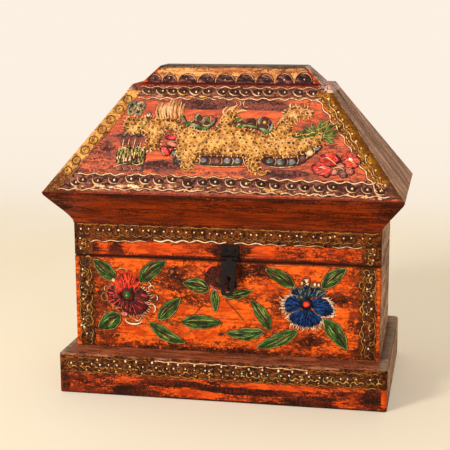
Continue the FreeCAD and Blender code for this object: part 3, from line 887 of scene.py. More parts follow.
        faces = [face[::-1] for face in grid_faces(rows, cols)]
        one, other = flat[rows // 2, 1] - flat[rows // 2, 0], flat[rows // 2 + 1, 0] - flat[rows // 2, 0]
        if one[0] * other[1] < one[1] * other[0]:
            faces = [face[::-1] for face in faces]
        self.add(pigment, places, faces, np.clip(shading_and_tone, 0, 1).reshape(-1))
        for _ in range(int(3 + width * 0.55)):
            self.leaf_stroke(spine, side, half, height)
        rim = np.vstack([flat[:, 0], flat[::-1, -1]])[::2]
        self.bead(LEAF_EDGE, rim, 0.5, 0.75, closed=True, shade=0.4)

    def leaf_stroke(self, spine: np.ndarray, side: np.ndarray, half: np.ndarray, height: float) -> None:
        """Lay one brush stroke along a leaf.

        Args:
            spine: The points of its midrib.
            side: The direction across it.
            half: Half its width at each of those points.
            height: How far it stands out.
        """
        lane, first = self.between(-0.78, 0.78), self.between(0.1, 0.55)
        rows_on = (np.linspace(first, first + self.between(0.2, 0.42), 5) * (len(spine) - 1)).astype(int)
        lanes = lane * np.linspace(0.55, 1.0, 5)
        points = spine[rows_on] + side * (half[rows_on] * lanes)[:, None]
        self.stroke(self.any_of((GRASS, GRASS, MOSS, BROWN, SHADE)), points, self.between(0.25, 0.42), 0.3,
            base=height * (0.2 + 0.75 * math.sqrt(1.0 - abs(lane) ** 2.4)))

    def wave(self, pigment: Pigment, start: Point, end: Point, length: float, swing: float, radius: float,
            broken: float = 0.0, shade: float = 0.0) -> None:
        """Lay a wavy bead, with gaps where it has broken away.

        Args:
            pigment: Its paint.
            start: Where it starts.
            end: Where it ends.
            length: The length of one wave.
            swing: How far it swings to each side.
            radius: Half its width.
            broken: How likely a gap is at each step.
            shade: How far a dark rim shows on each side of it.
        """
        a, b = np.array(start, float), np.array(end, float)
        run = np.linalg.norm(b - a)
        way = (b - a) / run
        side = left_of(way)
        count = int(run / (length / 6))
        line = []
        for i in range(count + 1):
            t = run * i / count
            place = a + way * t + side * (swing * math.sin(2 * math.pi * t / length) + self.stray(0.12))
            line.append(place)
            if len(line) > 5 and self.chance(broken):
                self.bead(pigment, line, radius, shade=shade)
                line = []
        if len(line) > 3:
            self.bead(pigment, line, radius, shade=shade)

    def fringe(self, pigment: Pigment, outline: Line, centre: Point, low: float, high: float,
            radius: float = 0.5, gap: float = 1.3) -> None:
        """Set ragged strokes on the far side of a petal.

        Args:
            pigment: Their paint.
            outline: The petal's edge.
            centre: The flower's middle, which they point away from.
            low: Their least length.
            high: Their greatest length.
            radius: Half their width.
            gap: How far apart they stand.
        """
        middle = np.array(centre)
        line = smooth(outline, True, gap)
        far = np.linalg.norm(line - middle, axis=1)
        for place in line[far > 0.62 * far.max()]:
            way = (place - middle) / np.linalg.norm(place - middle)
            side = left_of(way) * self.stray(0.3)
            long = self.between(low, high)
            self.stroke(pigment, (place - way, place + (way + side * 0.4) * long * 0.5,
                place + (way + side) * long), radius * self.between(0.7, 1.25), 0.8)

    def petal(self, ground: Pigment, paints: Sequence[Pigment], outline: Line, centre: Point,
            height: float = 1.1) -> None:
        """Raise a petal: a dark pad covered in brush strokes that run out from the flower's middle.

        Args:
            ground: The pad's paint.
            paints: The strokes' paints, one taken at random for each.
            outline: The petal's edge in millimetres.
            centre: The flower's middle.
            height: How far the pad stands out.
        """
        self.pad(ground, outline, height * 0.55, 1.6, 1.1, 0.8)
        middle, line = np.array(centre), smooth(outline, True, 0.62)
        far = np.linalg.norm(line - middle, axis=1)
        for place in line[far > 0.55 * far.max()]:
            for start, end in ((0.30, 0.72), (0.55, 1.0)):
                a = self.between(start, start + 0.15)
                b = self.between(end - 0.1, end + 0.08)
                if b < a + 0.1:
                    continue
                way = place - middle
                turn = left_of(way) * self.stray(0.04)
                points = [middle + way * a, middle + way * (a + b) / 2 + turn, middle + way * b]
                if not is_inside(points[0][None], line)[0]:
                    points[0] = middle + way * max(a, near_share(middle, way, line))
                    points[1] = (points[0] + points[2]) / 2
                self.stroke(self.any_of(paints), points, self.between(0.32, 0.55), height * 0.62,
                    base=height * 0.45)

    def scales(self, outline: Line, across: float, upwards: float) -> None:
        """Cover an outline with rows of small lobes, each a bright gold crescent on its left, partly a
        painted highlight, beside a dark pit.

        Args:
            outline: The edge of what they cover.
            across: How far apart they stand in a row.
            upwards: How far apart the rows are.
        """
        line = smooth(outline, True, 1.0)
        low, high = line.min(0), line.max(0)
        for row, v in enumerate(np.arange(low[1], high[1], upwards)):
            for u in np.arange(low[0] + (row % 2) * across / 2, high[0], across):
                place = np.array([[u, v]]) + self.random.normal(size=(1, 2)) * 0.65
                if not is_inside(place, line)[0] or distance_to(place, line)[0] < 1.0:
                    continue
                centre, turn = tuple(place[0]), self.between(-70, 70)
                self.dome(BROWN if self.chance(0.45) else SHADE, centre, self.between(0.6, 1.0), 0.3,
                    self.between(0.7, 1.4), self.between(0, 90), 0.75)
                # The bright crescent on the left side of each lobe is gold paint and, partly, a painted
                # highlight where light falls.
                paint = self.any_of((BRIGHT_GOLD, BRIGHT_GOLD, AMBER, BRIGHT_GOLD, CREAM))
                self.curl(paint, centre, self.between(1.5, 2.1), 80 + turn, 270 + turn, 0.62, 0.8, base=0.7)

    def tufts(self, paints: Sequence[Pigment], outline: Line, gap: float, low: float, high: float) -> None:
        """Set short curved strokes along an outline, leaning outwards.

        Args:
            paints: Their paints, one taken at random for each.
            outline: The edge that they stand on.
            gap: How far apart they stand.
            low: Their least length.
            high: Their greatest length.
        """
        line = smooth(outline, True, gap)
        turn = np.sign(np.sum(line[:, 0] * np.roll(line[:, 1], -1) - np.roll(line[:, 0], -1) * line[:, 1]))
        for place, along in zip(line, headings(line)):
            if self.chance(0.35):
                continue
            out = -left_of(along) * turn
            lean, long = along * self.between(-1.0, 1.0), self.between(low, high)
            points = (place - out * 1.4, place + (out + lean * 0.3) * long * 0.4, place + (out + lean) * long)
            self.stroke(self.any_of(paints), points, self.between(0.6, 1.2), 0.8, shade=0.3)

    def strokes(self, pigment: Pigment, lines: Sequence[Line], radius: float, height: float,
            shade: float = 0.4) -> None:
        """Lay several strokes of one paint, each about as wide as the radius tells."""
        for line in lines:
            self.stroke(pigment, line, radius * self.between(0.85, 1.15), height, shade=shade)

    def build(self) -> None:
        """Turn what was drawn into pieces that ride on the panel's half."""
        for pigment, sheet in self.sheets.items():
            if pigment.name not in self.materials:
                self.materials[pigment.name] = relief_material(pigment)
            piece = new_piece(f"{self.name}_{pigment.name}", self.panel.points(np.vstack(sheet.points)),
                sheet.faces, self.materials[pigment.name])
            for key, values in (("shading_and_tone", sheet.tones), ("pick", sheet.picks)):
                mark = piece.data.attributes.new(key, "FLOAT", "POINT")
                mark.data.foreach_set("value", np.concatenate(values).astype(np.float32))
            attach(piece, self.panel.half.value)


class Section:
    """One sub-assembly of the box."""

    def dress(self) -> None:
        """Give the carried-over nodes their finish."""

    def build(self) -> None:
        """Raise the ornament, where there is any."""


@dataclass
class Body(Section):
    """The walls of the box and its bottom, with flowers, leaves and side borders on the front."""

    half_width: float = WALL_HALF_WIDTH
    half_depth: float = WALL_HALF_DEPTH
    seam: float = 121.8
    border_start: float = 125.5
    border_end: float = 137.1
    relief: Relief = field(init=False)

    leaves = (
        ((-102, 102), (-122.5, 120.5), 13, 0), ((-79, 101), (-54, 121.5), 13.5, 2),
        ((-98.5, 69), (-119.5, 55), 15.5, 0), ((-62, 66.5), (-41, 87.5), 12, 0),
        ((-70, 63), (-37, 45), 11, -2.5), ((-40, 65), (-2, 66), 12.5, 0.5), ((-14, 97), (-38, 102), 13, -1),
        ((-9, 97), (-8, 76), 7, 0), ((0, 92), (26, 97.5), 8.5, -1), ((42, 62), (24.5, 89), 11, -1.5),
        ((36, 60), (2, 56.5), 11, 2), ((67, 62), (30, 44.5), 11.5, 1), ((64, 103), (38, 118), 11.5, -1),
        ((89, 103), (110, 121.5), 12, 1), ((91, 74), (112, 47), 13.5, 1),
    )
    studs = (
        (-133.5, 110.8), (-134.2, 105), (-134.8, 93.3), (-133.5, 87), (-133.5, 82), (-134, 63),
        (-133.3, 55.5), (-136, 57), (-130, 99), (-129.5, 76), (-131, 49), (130, 116.5), (129, 104),
        (130.5, 92), (129, 81), (126.5, 74), (127.5, 57), (132.5, 98), (133, 86), (132, 66), (131, 49),
    )
    stems = (
        (-62, 66, -52, 64, -40, 65), (-20, 83, -25, 76, -28, 72), (1, 88, 9, 79.5, 18, 69.5),
        (-12, 84, -13, 92, -14, 97), (42, 62, 41, 60, 36, 60), (62, 104, 68, 101, 70, 99),
        (-30, 58, -34, 54, -37, 52), (-70, 63, -74, 66, -78, 69), (2, 57, -2, 56, -6, 54),
    )
    red_petals = ((-98, 92, -103, 96, -103.5, 102, -99, 105, -96, 109, -90, 109, -86, 105, -80, 104, -80.5,
        98, -86, 94, -92, 92), (-95.5, 89, -99, 94.5, -106, 96, -110.5, 91, -110, 84, -106, 79, -100, 76.5,
        -95, 78, -94, 84),)
    dark_petals = ((-86, 88, -83, 94, -77, 95, -72, 91, -70, 86, -74, 82, -81, 83),
        (-90, 82, -83, 84, -75, 82, -71, 78, -74, 73, -80, 70, -87, 69.5, -94, 72, -96, 77, -94, 81),)
    blue_petals = (
        (71.5, 89, 68, 93.5, 61, 94.5, 56, 90, 55, 84, 58, 79.5, 64, 80.5, 70, 84),
        (79, 89, 84, 94, 91, 93, 97, 88, 99, 82, 95, 77.5, 88, 78.5, 81, 83.5),
        (75, 84, 69, 82, 62, 79, 59.5, 74, 62, 70, 67, 67.5, 74, 66.5, 81, 67, 87.5, 70, 89, 74, 84.5, 79, 79,
        82.5), (75, 91, 69, 94.5, 63, 95.5, 62, 99, 66, 102, 71, 102, 76, 105, 81, 103, 86, 103, 91, 99.5, 90,
        95.5, 83, 94.5),
    )

    wear = (
        (0, 37, 170, 7, 0.7), (-118, 90, 12, 46, 0.5), (-90, 84, 36, 24, 0.4), (-47, 104, 26, 14, 0.5),
        (-28, 88, 24, 12, 0.4), (3, 110, 18, 18, 1.3), (28, 116, 24, 10, 0.8), (49, 86, 12, 16, 0.5),
        (103, 94, 14, 7, 0.9), (119, 88, 8, 50, 0.4), (77, 53, 18, 10, 0.6), (-110, 50, 14, 10, 0.6),
        (6, 76, 30, 13, -1), (-72, 121, 36, 5, -0.8), (64, 121, 28, 5, -0.7), (-70, 55, 40, 7, -0.6),
        (104, 76, 9, 9, -0.6), (-18, 56, 30, 7, -0.5), (128, 44, 18, 8, 0.8),
    )

    def __post_init__(self) -> None:
        """Start the relief on the front wall."""
        self.relief = Relief("body_relief", Panel((0, -self.half_depth, 0), (0, 0, 1), Half.BOX),
            "body_paint", 11)

    def dress(self) -> None:
        """Paint the walls orange between dark borders, and leave the bottom bare."""
        weather = Weather("body_paint", 1.0)
        graph = weather.graph
        weather.ground(ORANGE, graph.zones(self.wear, graph.z, 0.05))
        across = abs(graph.x) + weather.ragged(120, 7.0, 3.0)
        outer = (across - 3.5).fade(self.border_end - 0.7, self.border_end + 0.7)
        border = across.step(self.border_start - 1.0, self.border_start + 1.0) * outer
        weather.over(border, BORDER)
        weather.plain_faces(self.half_width, self.half_depth - 1.0)
        weather.lining()
        weather.stain((graph.z - self.seam).step(0.0, 1.6) * 0.85, "#30160c")
        put_on(weather.close(), "body_{}_board", "body_corner_nails")
        bare = Weather("bare_wood", 43)
        bare.colour = bare.wood("#8a6242", "#543826", (14, 60, 60))
        bare.worn = bare.graph.noise((60, 60, 60), 2.0, 0.5, 3.0) * 0.2
        put_on(bare.close(0.62, (14, 220, 220)), "bottom_board")

    def red_flower(self) -> None:
        """Raise the red flower at the left."""
        relief, centre = self.relief, (-91, 88.3)
        for petal in self.red_petals:
            upper = petal is self.red_petals[0]
            relief.petal(MAROON, (RED, RED, RED, RED, MAROON) if upper
                else (RED, CRIMSON, SHADE, SHADE, MAROON), petal, centre, 1.3)
            relief.fringe(RED if upper else PINK, petal, centre, 1, 2.4, 0.45)
        for petal in self.dark_petals:
            relief.petal(MAROON, (MAROON, SHADE, MAROON, SHADE, MAROON, SHADE, MAROON, CRIMSON), petal,
                centre, 1.3)
            relief.fringe(MAROON, petal, centre, 1, 2.4, 0.5)
            relief.fringe(PINK, petal, centre, 1, 2.6, 0.4, 2.2)
            relief.fringe(DOT, petal, centre, 2, 3.4, 0.4, 2.4)
        relief.stroke(MAROON, (-103, 93, -99, 89, -96, 83), 0.8, 1.9)
        relief.stroke(PINK, (-104, 90, -100, 87, -97, 82), 0.5, 1.9)
        relief.stroke(INK, (-89, 92, -86, 95.5, -82, 96.5), 1.5, 1.8)
        relief.dome(MAROON, centre, 7, 1.7)
        relief.dome(GREEN, centre, 3.7, 1.3, base=0.9)
        relief.dome(DOT, (-91, 88.3), 0.75, 0.7, base=2.1)
        relief.pad(PINK, (-99, 70.5, -96, 72.5, -91, 72, -91, 68.5, -95, 67), 0.9, 1, 0.8, 0.3)
        relief.curl(DOT, (-68.3, 76.5), 3.8, 120, -70, 0.9, stretch=1.1, shade=0.5)
        relief.ring(OLIVE, (-66, 86.5), 3.6, 0.6, shade=0.5)
        relief.curl(DOT, (-66, 86.5), 3.6, -60, 70, 0.55, 0.9)
        relief.ring(OLIVE, (-113, 85.5), 2.9, 0.6, stretch=1.4, shade=0.4)
        relief.curl(DOT, (-85.5, 64.6), 8, 165, 375, 0.9, stretch=0.5, shade=0.6)
        relief.ring(OLIVE, (-86, 65.5), 5.8, 0.5, stretch=0.45)
        relief.curl(CREAM, (-95.5, 110), 5, 20, 160, 0.6, stretch=0.7, shade=0.5)
        relief.curl(CREAM, (-72.5, 98), 4, -30, 110, 0.7, stretch=0.9, shade=0.5)
        relief.curl(DOT, (-68, 95.5), 2.6, -20, 220, 0.6, shade=0.4)
        relief.curl(CREAM, (-110.5, 93.5), 2.6, 60, 290, 0.55, shade=0.4)
        relief.curl(DOT, (-82, 66.5), 3, 200, 380, 0.6, stretch=0.8, shade=0.4)
        relief.dome(DOT, (-104, 101.8), 2.2, 1.1, 1.2, 30, shade=0.5)
        relief.dome(CREAM, (-101.5, 75), 1.3, 0.9, 1.6, -50)
        relief.dome(OLIVE, (-107.5, 74), 1.6, 0.8, 0.7, 20, shade=0.4)

    def blue_flower(self) -> None:
        """Raise the blue flower at the right."""
        relief, centre = self.relief, (75, 87.7)
        for petal in self.blue_petals:
            upper = petal is self.blue_petals[3]
            relief.petal(NIGHT, (INK, NIGHT, NIGHT, TEAL, BLUE) if upper else (BLUE, BLUE, NIGHT, NIGHT, SKY),
                petal, centre, 1.3)
            relief.fringe(TEAL if upper else DOT, petal, centre, 1.2, 3 if upper else 6, 0.42, 1.2)
            if not upper:
                relief.fringe(CREAM, petal, centre, 1, 4, 0.5, 1.7)
                relief.fringe(NIGHT, petal, centre, 1.6, 3, 0.4, 1.5)
        relief.stroke(NIGHT, (72, 93, 73, 98, 75.5, 103), 1, 1.7)
        for points in ((71.5, 86, 67, 81.5, 61, 79, 56, 77), (78.5, 86, 83, 80.5, 89, 77, 93, 76),
                (70, 92, 66, 95, 61, 96), (79.5, 91.5, 84, 94.5, 91, 94.5)):
            relief.stroke(OLIVE, points, 0.6, 1.5, shade=0.4)
        relief.dome(NIGHT, centre, 6.2, 1.7)
        relief.dome(RED, centre, 3.2, 1.5, base=1)
        relief.ring(BROWN, (75, 109), 3.3, 0.55, stretch=0.95, shade=0.5)
        for place in ((76, 105.8), (82.5, 106), (86, 105.5), (71, 106.5)):
            relief.dome(DOT, place, 1.5, 1, 1.2, shade=0.4)
        for turn in (50, 90, 130):
            relief.bead(DOT, [(75, 107), (75 + 2.6 * math.cos(math.radians(turn)), 107 + 3.6)], 0.45)
        relief.dome(CREAM, (98.5, 77.5), 2.4, 1, 0.8, 40, shade=0.4)
        relief.dome(CREAM, (54, 79.5), 2.2, 1, 0.9, 0, shade=0.4)
        relief.dome(CREAM, (88.5, 71.5), 1.8, 0.9, 1.2, 30)

    def bud(self) -> None:
        """Raise the dark bud behind the hasp."""
        relief = self.relief
        outline = (-18, 108, -16, 115, -10, 119, -2, 118, 3, 112, 3, 104, -4, 99, -11, 99.5, -16, 102.5)
        relief.petal(MAROON, (MAROON, SHADE, MAROON, SHADE), outline, (-6, 106), 1.2)
        relief.petal(SHADE, (MAROON, SHADE, SHADE), ring_points((-5, 107), 6.5), (-6, 106), 1.6)
        relief.stroke(RED, (-17.5, 111, -15, 116.5, -10.5, 119.5), 1.1, 1.3)
        relief.stroke(PINK, (-13, 99.5, -8, 97, -3, 96.5), 1, 1.1)
        relief.stroke(CRIMSON, (-16, 104, -12, 100.5, -7, 98.5), 0.9, 1.3)
        relief.dome(BROWN, (-48.5, 112), 2.4, 0.7)
        relief.ring(SHADE, (-48.5, 112), 3, 0.6)
        relief.dome(SHADE, (-3, 55.5), 2.6, 0.6, 0.6, 10)

    def borders(self) -> None:
        """Lay the dotted borders up both sides."""
        relief = self.relief
        for side in (-1, 1):
            relief.wave(OLIVE, (side * 125.6, 42), (side * 125.6, 121), 11, 1, 0.6, 0.10, 0.5)
            relief.wave(OLIVE, (side * 136.6, 42), (side * 136.6, 121), 12, 0.6, 0.5, 0.14, 0.3)
            for z in np.arange(42, 121, 2.7):
                place = (side * relief.between(127.4, 135.2), z + relief.stray(0.5))
                relief.dome(SHADE, place, relief.between(1.6, 2.6), 0.3, relief.between(0.7, 1.3))
                start = relief.between(0, 360)
                arc = ring_points(place, relief.between(2, 3), 1.1, start, start + relief.between(110, 230))
                relief.stroke(relief.any_of((OLIVE, OLIVE, BROWN if side > 0 else GOLD, LEAF_EDGE)), arc, 0.5,
                    0.8)
            for _ in range(24):
                relief.dome(GOLD, (side * relief.between(126.5, 136), relief.between(43, 121)),
                    relief.between(0.4, 0.7))
        for x, z in self.studs:
            relief.dome(DOT, (x, z), relief.between(0.8, 1.15), 0.9, 1.1, shade=0.5)
        for x, z in ((125, 107), (126, 85), (126, 62), (-126, 98), (-127, 74), (134, 112), (134, 68)):
            relief.curl(GOLD, (x, z), 3, 100, 250, 0.6, 0.9, stretch=1.2, shade=0.5)

    def build(self) -> None:
        """Draw everything, in an order that keeps the random numbers the same."""
        relief = self.relief
        for stem in self.stems:
            relief.bead(OLIVE, stem, 0.42, shade=0.25)
        for leaf in self.leaves:
            relief.leaf(*leaf)
        for draw in (self.red_flower, self.blue_flower, self.bud, self.borders, relief.build):
            draw()


@dataclass
class Neck(Section):
    """The rails of the lid's neck, with dots and a wavy bead on the front."""

    half_width: float = WALL_HALF_WIDTH
    half_depth: float = WALL_HALF_DEPTH
    foot: float = 124.3
    band_foot: float = 141.2
    border_start: float = 125.5

    wear = ((-128, 132, 16, 9, 0.7), (-101, 132, 9, 9, 0.7), (-64, 133, 36, 6, -0.9), (5, 134, 22, 9, 1.2),
        (38, 134, 15, 6, -1.1), (92, 132, 40, 9, 0.2), (0, 125, 170, 3.4, 0.7),)

    def dress(self) -> None:
        """Paint the rails red orange under a dark band."""
        weather = Weather("neck_paint", 7.0)
        graph = weather.graph
        weather.ground(RED_ORANGE, graph.zones(self.wear, graph.z, 0.1))
        ragged = weather.ragged(70, 3.0)
        above = (graph.z + ragged).step(self.band_foot - 0.8, self.band_foot + 0.8)
        beside = (abs(graph.x) + ragged).step(self.border_start - 1.0, self.border_start + 1.0)
        weather.over(above.max(beside), BORDER)
        weather.plain_faces(self.half_width, self.half_depth - 1.0)
        weather.lining()
        seam = (graph.z - self.foot).fade(0.8, 2.6)
        weather.stain(seam * 0.85, "#2c120a")
        put_on(weather.close(), "neck_{}_rail", "neck_corner_nails")

    def build(self) -> None:
        """Draw the ornament."""
        relief = Relief("neck_relief", Panel((0, -self.half_depth, self.foot), (0, 0, 1), Half.LID),
            "neck_paint", 12)
        wave = [(x, 13.2 + min(3.2, (x + 126) * 0.04) + (0.8 if i % 2 else -0.6) + relief.stray(0.3)) for i,
            x in enumerate(np.linspace(-126, 124, 38))]
        for first, last, paint, radius in ((0, 9, CREAM, 0.6), (9, 15, DOT, 0.75), (14, 20, CREAM, 0.7),
                (20, 25, DOT, 0.65), (24, 28, CREAM, 0.5), (28, 33, AMBER, 0.5), (33, 38, CREAM, 0.5)):
            relief.bead(paint, wave[first:last], radius, 0.9, shade=0.7)
        for x in np.linspace(-134, 130, 38):
            place = (x + relief.stray(0.9), 24.8 + relief.stray(0.5))
            relief.dome(DOT, place, relief.between(0.8, 1.1), 0.9, shade=0.6)
        for x in np.arange(-134, 134, 5.4):
            relief.curl(SHADE, (x, 21.8), 2.4, 170, 370, 0.7, 0.5)
            relief.curl(OLIVE, (x + 0.4, 22.2), 1.9, 180, 360, 0.45, 0.7)
            if relief.chance(0.5):
                relief.curl(OLIVE, (x + 2.6, 27.6), 1.9, 10, 170, 0.45, 0.6, stretch=0.8)
        relief.wave(OLIVE, (-138, 29.2), (138, 29.2), 13, 0.4, 0.5, 0.10)
        relief.wave(OLIVE, (-124, 19.2), (124, 19.8), 9, 0.6, 0.45, 0.14)
        for side in (-1, 1):
            for z in (3.5, 8.5, 13.5):
                relief.curl(SHADE, (side * 131, z), 2.7, 60, 290, 0.7, 0.5)
                relief.ring(OLIVE, (side * 131.5, z), 2, 0.45)
                relief.dome(DOT, (side * (133.5 + relief.stray()), z + 2.4), 0.9, shade=0.4)
            for _ in range(10):
                relief.dome(GOLD, (side * relief.between(126, 137), relief.between(2.5, 17)), 0.55)
        relief.build()


@dataclass
class Cornice(Section):
    """The cove mouldings between neck and eaves."""

    foot: float = 154.7
    half_width: float = 141.2
    half_depth: float = WALL_HALF_DEPTH
    corner: float = 77.0

    wear = ((0, 188, 190, 7, 0.7), (-152, 178, 24, 14, 0.6), (154, 178, 24, 16, 0.7), (20, 163, 70, 11, -0.4),
        (0, 154, 150, 4, 0.5),)

    def dress(self) -> None:
        """Paint the coves dark red, and leave the sides and the back plain."""
        weather = Weather("cove_paint", 13.0)
        graph = weather.graph
        weather.ground(COVE, graph.zones(self.wear, graph.z, 0.0))
        mitre = (abs(graph.x) - abs(graph.y) - self.corner).step(-1.0, 1.0)
        side = weather.beyond(self.half_width).min(mitre)
        rear = graph.y.step(self.half_depth - 1.4, self.half_depth - 1.0)
        weather.over(side.max(rear), SIDE, seed=60.0)
        foot = (graph.z - self.foot).fade(0.2, 1.4)
        weather.stain(foot * 0.8, "#460e08")
        weather.lining()
        put_on(weather.close(0.5), "cornice_{}", "cornice_nails")


def beast_hide(places: np.ndarray, gap: np.ndarray) -> tuple[np.ndarray, np.ndarray]:
    """Give the added height and the tone of places on the beast's hide: mottled, and darker near its edge as
    painted shade.
    """
    grain = mottle(places, 0.3, 0.3, 4)
    return 0.3 * grain, np.clip(0.42 + gap / 11 + 0.8 * grain + 0.9 * mottle(places, 0.9, 0.9, 9), 0, 1)


def rubbed_scale(places: np.ndarray, gap: np.ndarray) -> tuple[np.ndarray, np.ndarray]:
    """Give the added height and the tone of places on a rubbed scale of the cap."""
    grain = mottle(places, 0.16, 0.5, 2)
    return 0.15 * grain, np.clip(0.46 + 1.1 * grain, 0, 1)


@dataclass
class Roof(Section):
    """The hipped roof: a gilded beast among fans and flowers on the front slope, plain slopes elsewhere."""

    eave: float = 187.2
    half_width: float = 161.0
    front: float = -89.5
    back: float = 75.5
    end_run: float = 71.5
    front_run: float = ROOF_RUN
    rise: float = ROOF_RISE
    top_half_width: float = 89.0
    top_back: float = 21.0
    cap_front: float = -29.0
    low_band: Point = (2.4, 17.4)
    high_band: Point = (94.0, 103.4)
    left_strip: float = 12.6
    right_strip: float = 15.0
    relief: Relief = field(init=False)

    beast = (
        -92, 60, -92.5, 69, -88, 74.5, -80, 74, -70, 75, -62, 73, -52, 74, -44, 73, -38, 68, -30, 65, -20, 62,
        -11, 63.5, -6.5, 68, -3, 75, 2, 82, 8, 84, 11, 79, 8, 72, 10, 67, 18, 65.5, 27, 63, 36, 60, 42, 60,
        45, 66, 49, 72, 55, 77, 62, 76, 60, 68, 62, 62, 70, 61, 80, 62, 88, 60, 90, 54, 86, 49.5, 80, 46, 72,
        42, 66, 39.5, 56, 38.3, 44, 38, 36, 38, 34, 31, 37, 26, 31, 23, 25, 27, 21, 37, 8, 38.5, -8, 38.5,
        -19, 38, -22, 33, -25, 27, -32, 26, -38, 31, -40, 38, -43, 46, -43, 56, -48, 60.5, -54, 59, -56, 52,
        -57, 46, -60, 42, -68, 41.5, -71, 46, -70, 54, -76, 58, -84, 56.5,
    )
    plume = (54, 73, 52, 80, 56, 86, 63, 88, 71, 86, 78, 82, 77, 77, 69, 77, 62, 72)
    bottom_dots = (
        (-130, 10), (-124, 12.5), (-110, 12), (-95, 13), (-79.5, 14.5), (-66.5, 13.5), (-54, 13.3),
        (-42, 15.2), (-27.5, 11.5), (-14.5, 13), (-3.5, 13.8), (10.5, 13.5), (24, 13), (37.5, 13), (50, 11.5),
        (64, 12), (75.5, 11), (88, 11), (100, 12), (116, 11), (129, 10.5), (140, 9.5),
    )
    top_marks = (-75, -62, -52, -42, -31, -19.5, -6, 5, 15, 26, 36, 49.5, 63, 75)

    wear = (
        (-18, 88, 32, 7, 1.7), (34, 88, 24, 7, 1.7), (-112, 46, 14, 20, 0.35), (-144, 12, 26, 18, 1.5),
        (140, 10, 28, 9, 1.1), (-56, 28, 20, 4.5, 1.4), (60, 23, 22, 4.5, 1.5), (-62, 36, 16, 4, -1),
        (0, 27, 22, 4, -0.9), (32, 79, 24, 4.5, -1.6), (-22, 80, 22, 3, -1.2), (108, 58, 11, 13, -0.7),
        (-72, 86, 10, 6, -0.4), (-106, 68, 8, 9, -1), (-84, 54, 20, 10, 0.7), (84, 84, 12, 7, -0.5),
        (128, 30, 10, 8, -0.5),
    )

    def __post_init__(self) -> None:
        """Start the relief on the front slope."""
        slope = Panel((0, self.front, self.eave), (0, self.front_run, self.rise), Half.LID)
        self.relief = Relief("roof_relief", slope, "roof_paint", 13)

    def dress(self) -> None:
        """Give each slope and the board that closes the roof their finish."""
        put_on(self.front_paint(), "roof_front_board")
        put_on(self.plain_paint("roof_back_paint", 19, SIDE), "roof_back_board")
        put_on(self.plain_paint("roof_end_paint", 21, ENDS), "roof_left_board", "roof_right_board")
        put_on(self.top_paint(), "roof_top_board")

    def plain_paint(self, name: str, seed: float, paint: OldPaint) -> bpy.types.Material:
        """Weather a slope that has no ornament.

        Args:
            name: The finish's name.
            seed: Shifts the pattern.
            paint: The coat.

        Returns:
            The material.
        """
        weather = Weather(name, seed)
        graph = weather.graph
        level = graph.z - self.eave
        slopes = [level * (self.end_run / self.rise) + abs(graph.x) - self.half_width,
            level * (self.front_run / self.rise) + graph.y - self.back,
            level * (self.front_run / self.rise) - graph.y + self.front]
        outer = slopes[0].max(slopes[1]).max(slopes[2])
        weather.ground(paint)
        weather.lining(outer.fade(-2.4, -1.6))
        return weather.close(0.62, (60, 30, 420))

    def front_paint(self) -> bpy.types.Material:
        """Paint the front slope: worn orange red, dark bands, gilt strips up the hips."""
        weather = Weather("roof_front_paint", 17.0)
        graph = weather.graph
        rise = (graph.z - self.eave) * (ROOF_SLOPE / self.rise)
        weather.ground(ROOF_ORANGE, graph.zones(self.wear, rise, 0.15))
        ragged = weather.ragged(130, 9.0, 4.0) - 4.5
        level = rise + ragged * 0.5
        low, high = (level.step(start, start + 1.0) * level.fade(end, end + 1.0) for start,
            end in (self.low_band, self.high_band))
        weather.over(low.max(high), ROOF_BORDER)
        weather.stain(level.fade(1.2, 2.6) * 0.8, "#682212")
        hip = rise * (self.end_run / ROOF_SLOPE)
        left = (graph.x + self.half_width - hip + ragged).fade(self.left_strip, self.left_strip + 1.0)
        weather.over(left, GILT, rise.fade(6.0, 34.0), 70.0)
        from_hip = self.half_width - hip - graph.x + ragged
        right = from_hip.fade(self.right_strip, self.right_strip + 1.0) * level.step(16.0, 19.0)
        weather.over(right, OLD_GILT, seed=80.0)
        weather.stain(from_hip.fade(3.0, 6.5) * 0.75, "#54320c")
        depth = graph.y - self.front - rise * (self.front_run / ROOF_SLOPE)
        weather.lining(depth.step(3.0, 5.0))
        return weather.close(0.55, LONG_GRAIN)

    def top_paint(self) -> bpy.types.Material:
        """Paint the board that closes the roof, red orange with a dark margin by the cap."""
        weather = Weather("top_board_paint", 23.0)
        graph = weather.graph
        top = self.eave + self.rise
        weather.ground(TOP_RED)
        front = graph.y - self.front - (graph.z - self.eave) * (self.front_run / self.rise)
        edge = front.fade(0.2, 0.7) * graph.z.fade(top - 1.2, top - 0.5)
        weather.over(edge, ROOF_BORDER)
        plain = weather.beyond(self.top_half_width).max(graph.y.step(self.top_back - 0.4, self.top_back))
        weather.over(plain, ENDS, seed=60.0)
        margin = graph.z.step(top - 1.0, top - 0.4) * graph.y.fade(self.cap_front + 1.0, self.cap_front + 3.0)
        weather.stain(margin * (1.0 - plain) * 0.85, "#601408")
        # Pale flecks at the right end: partly chipped paint, partly a painted reflection of light on the
        # varnish.
        chips_and_glare = graph.noise((260, 260, 260), 4.0, 0.7, 3.0).step(0.47, 0.55) * graph.x.step(78, 87)
        weather.stain(chips_and_glare * 0.85, "#e2cabe")
        return weather.close()

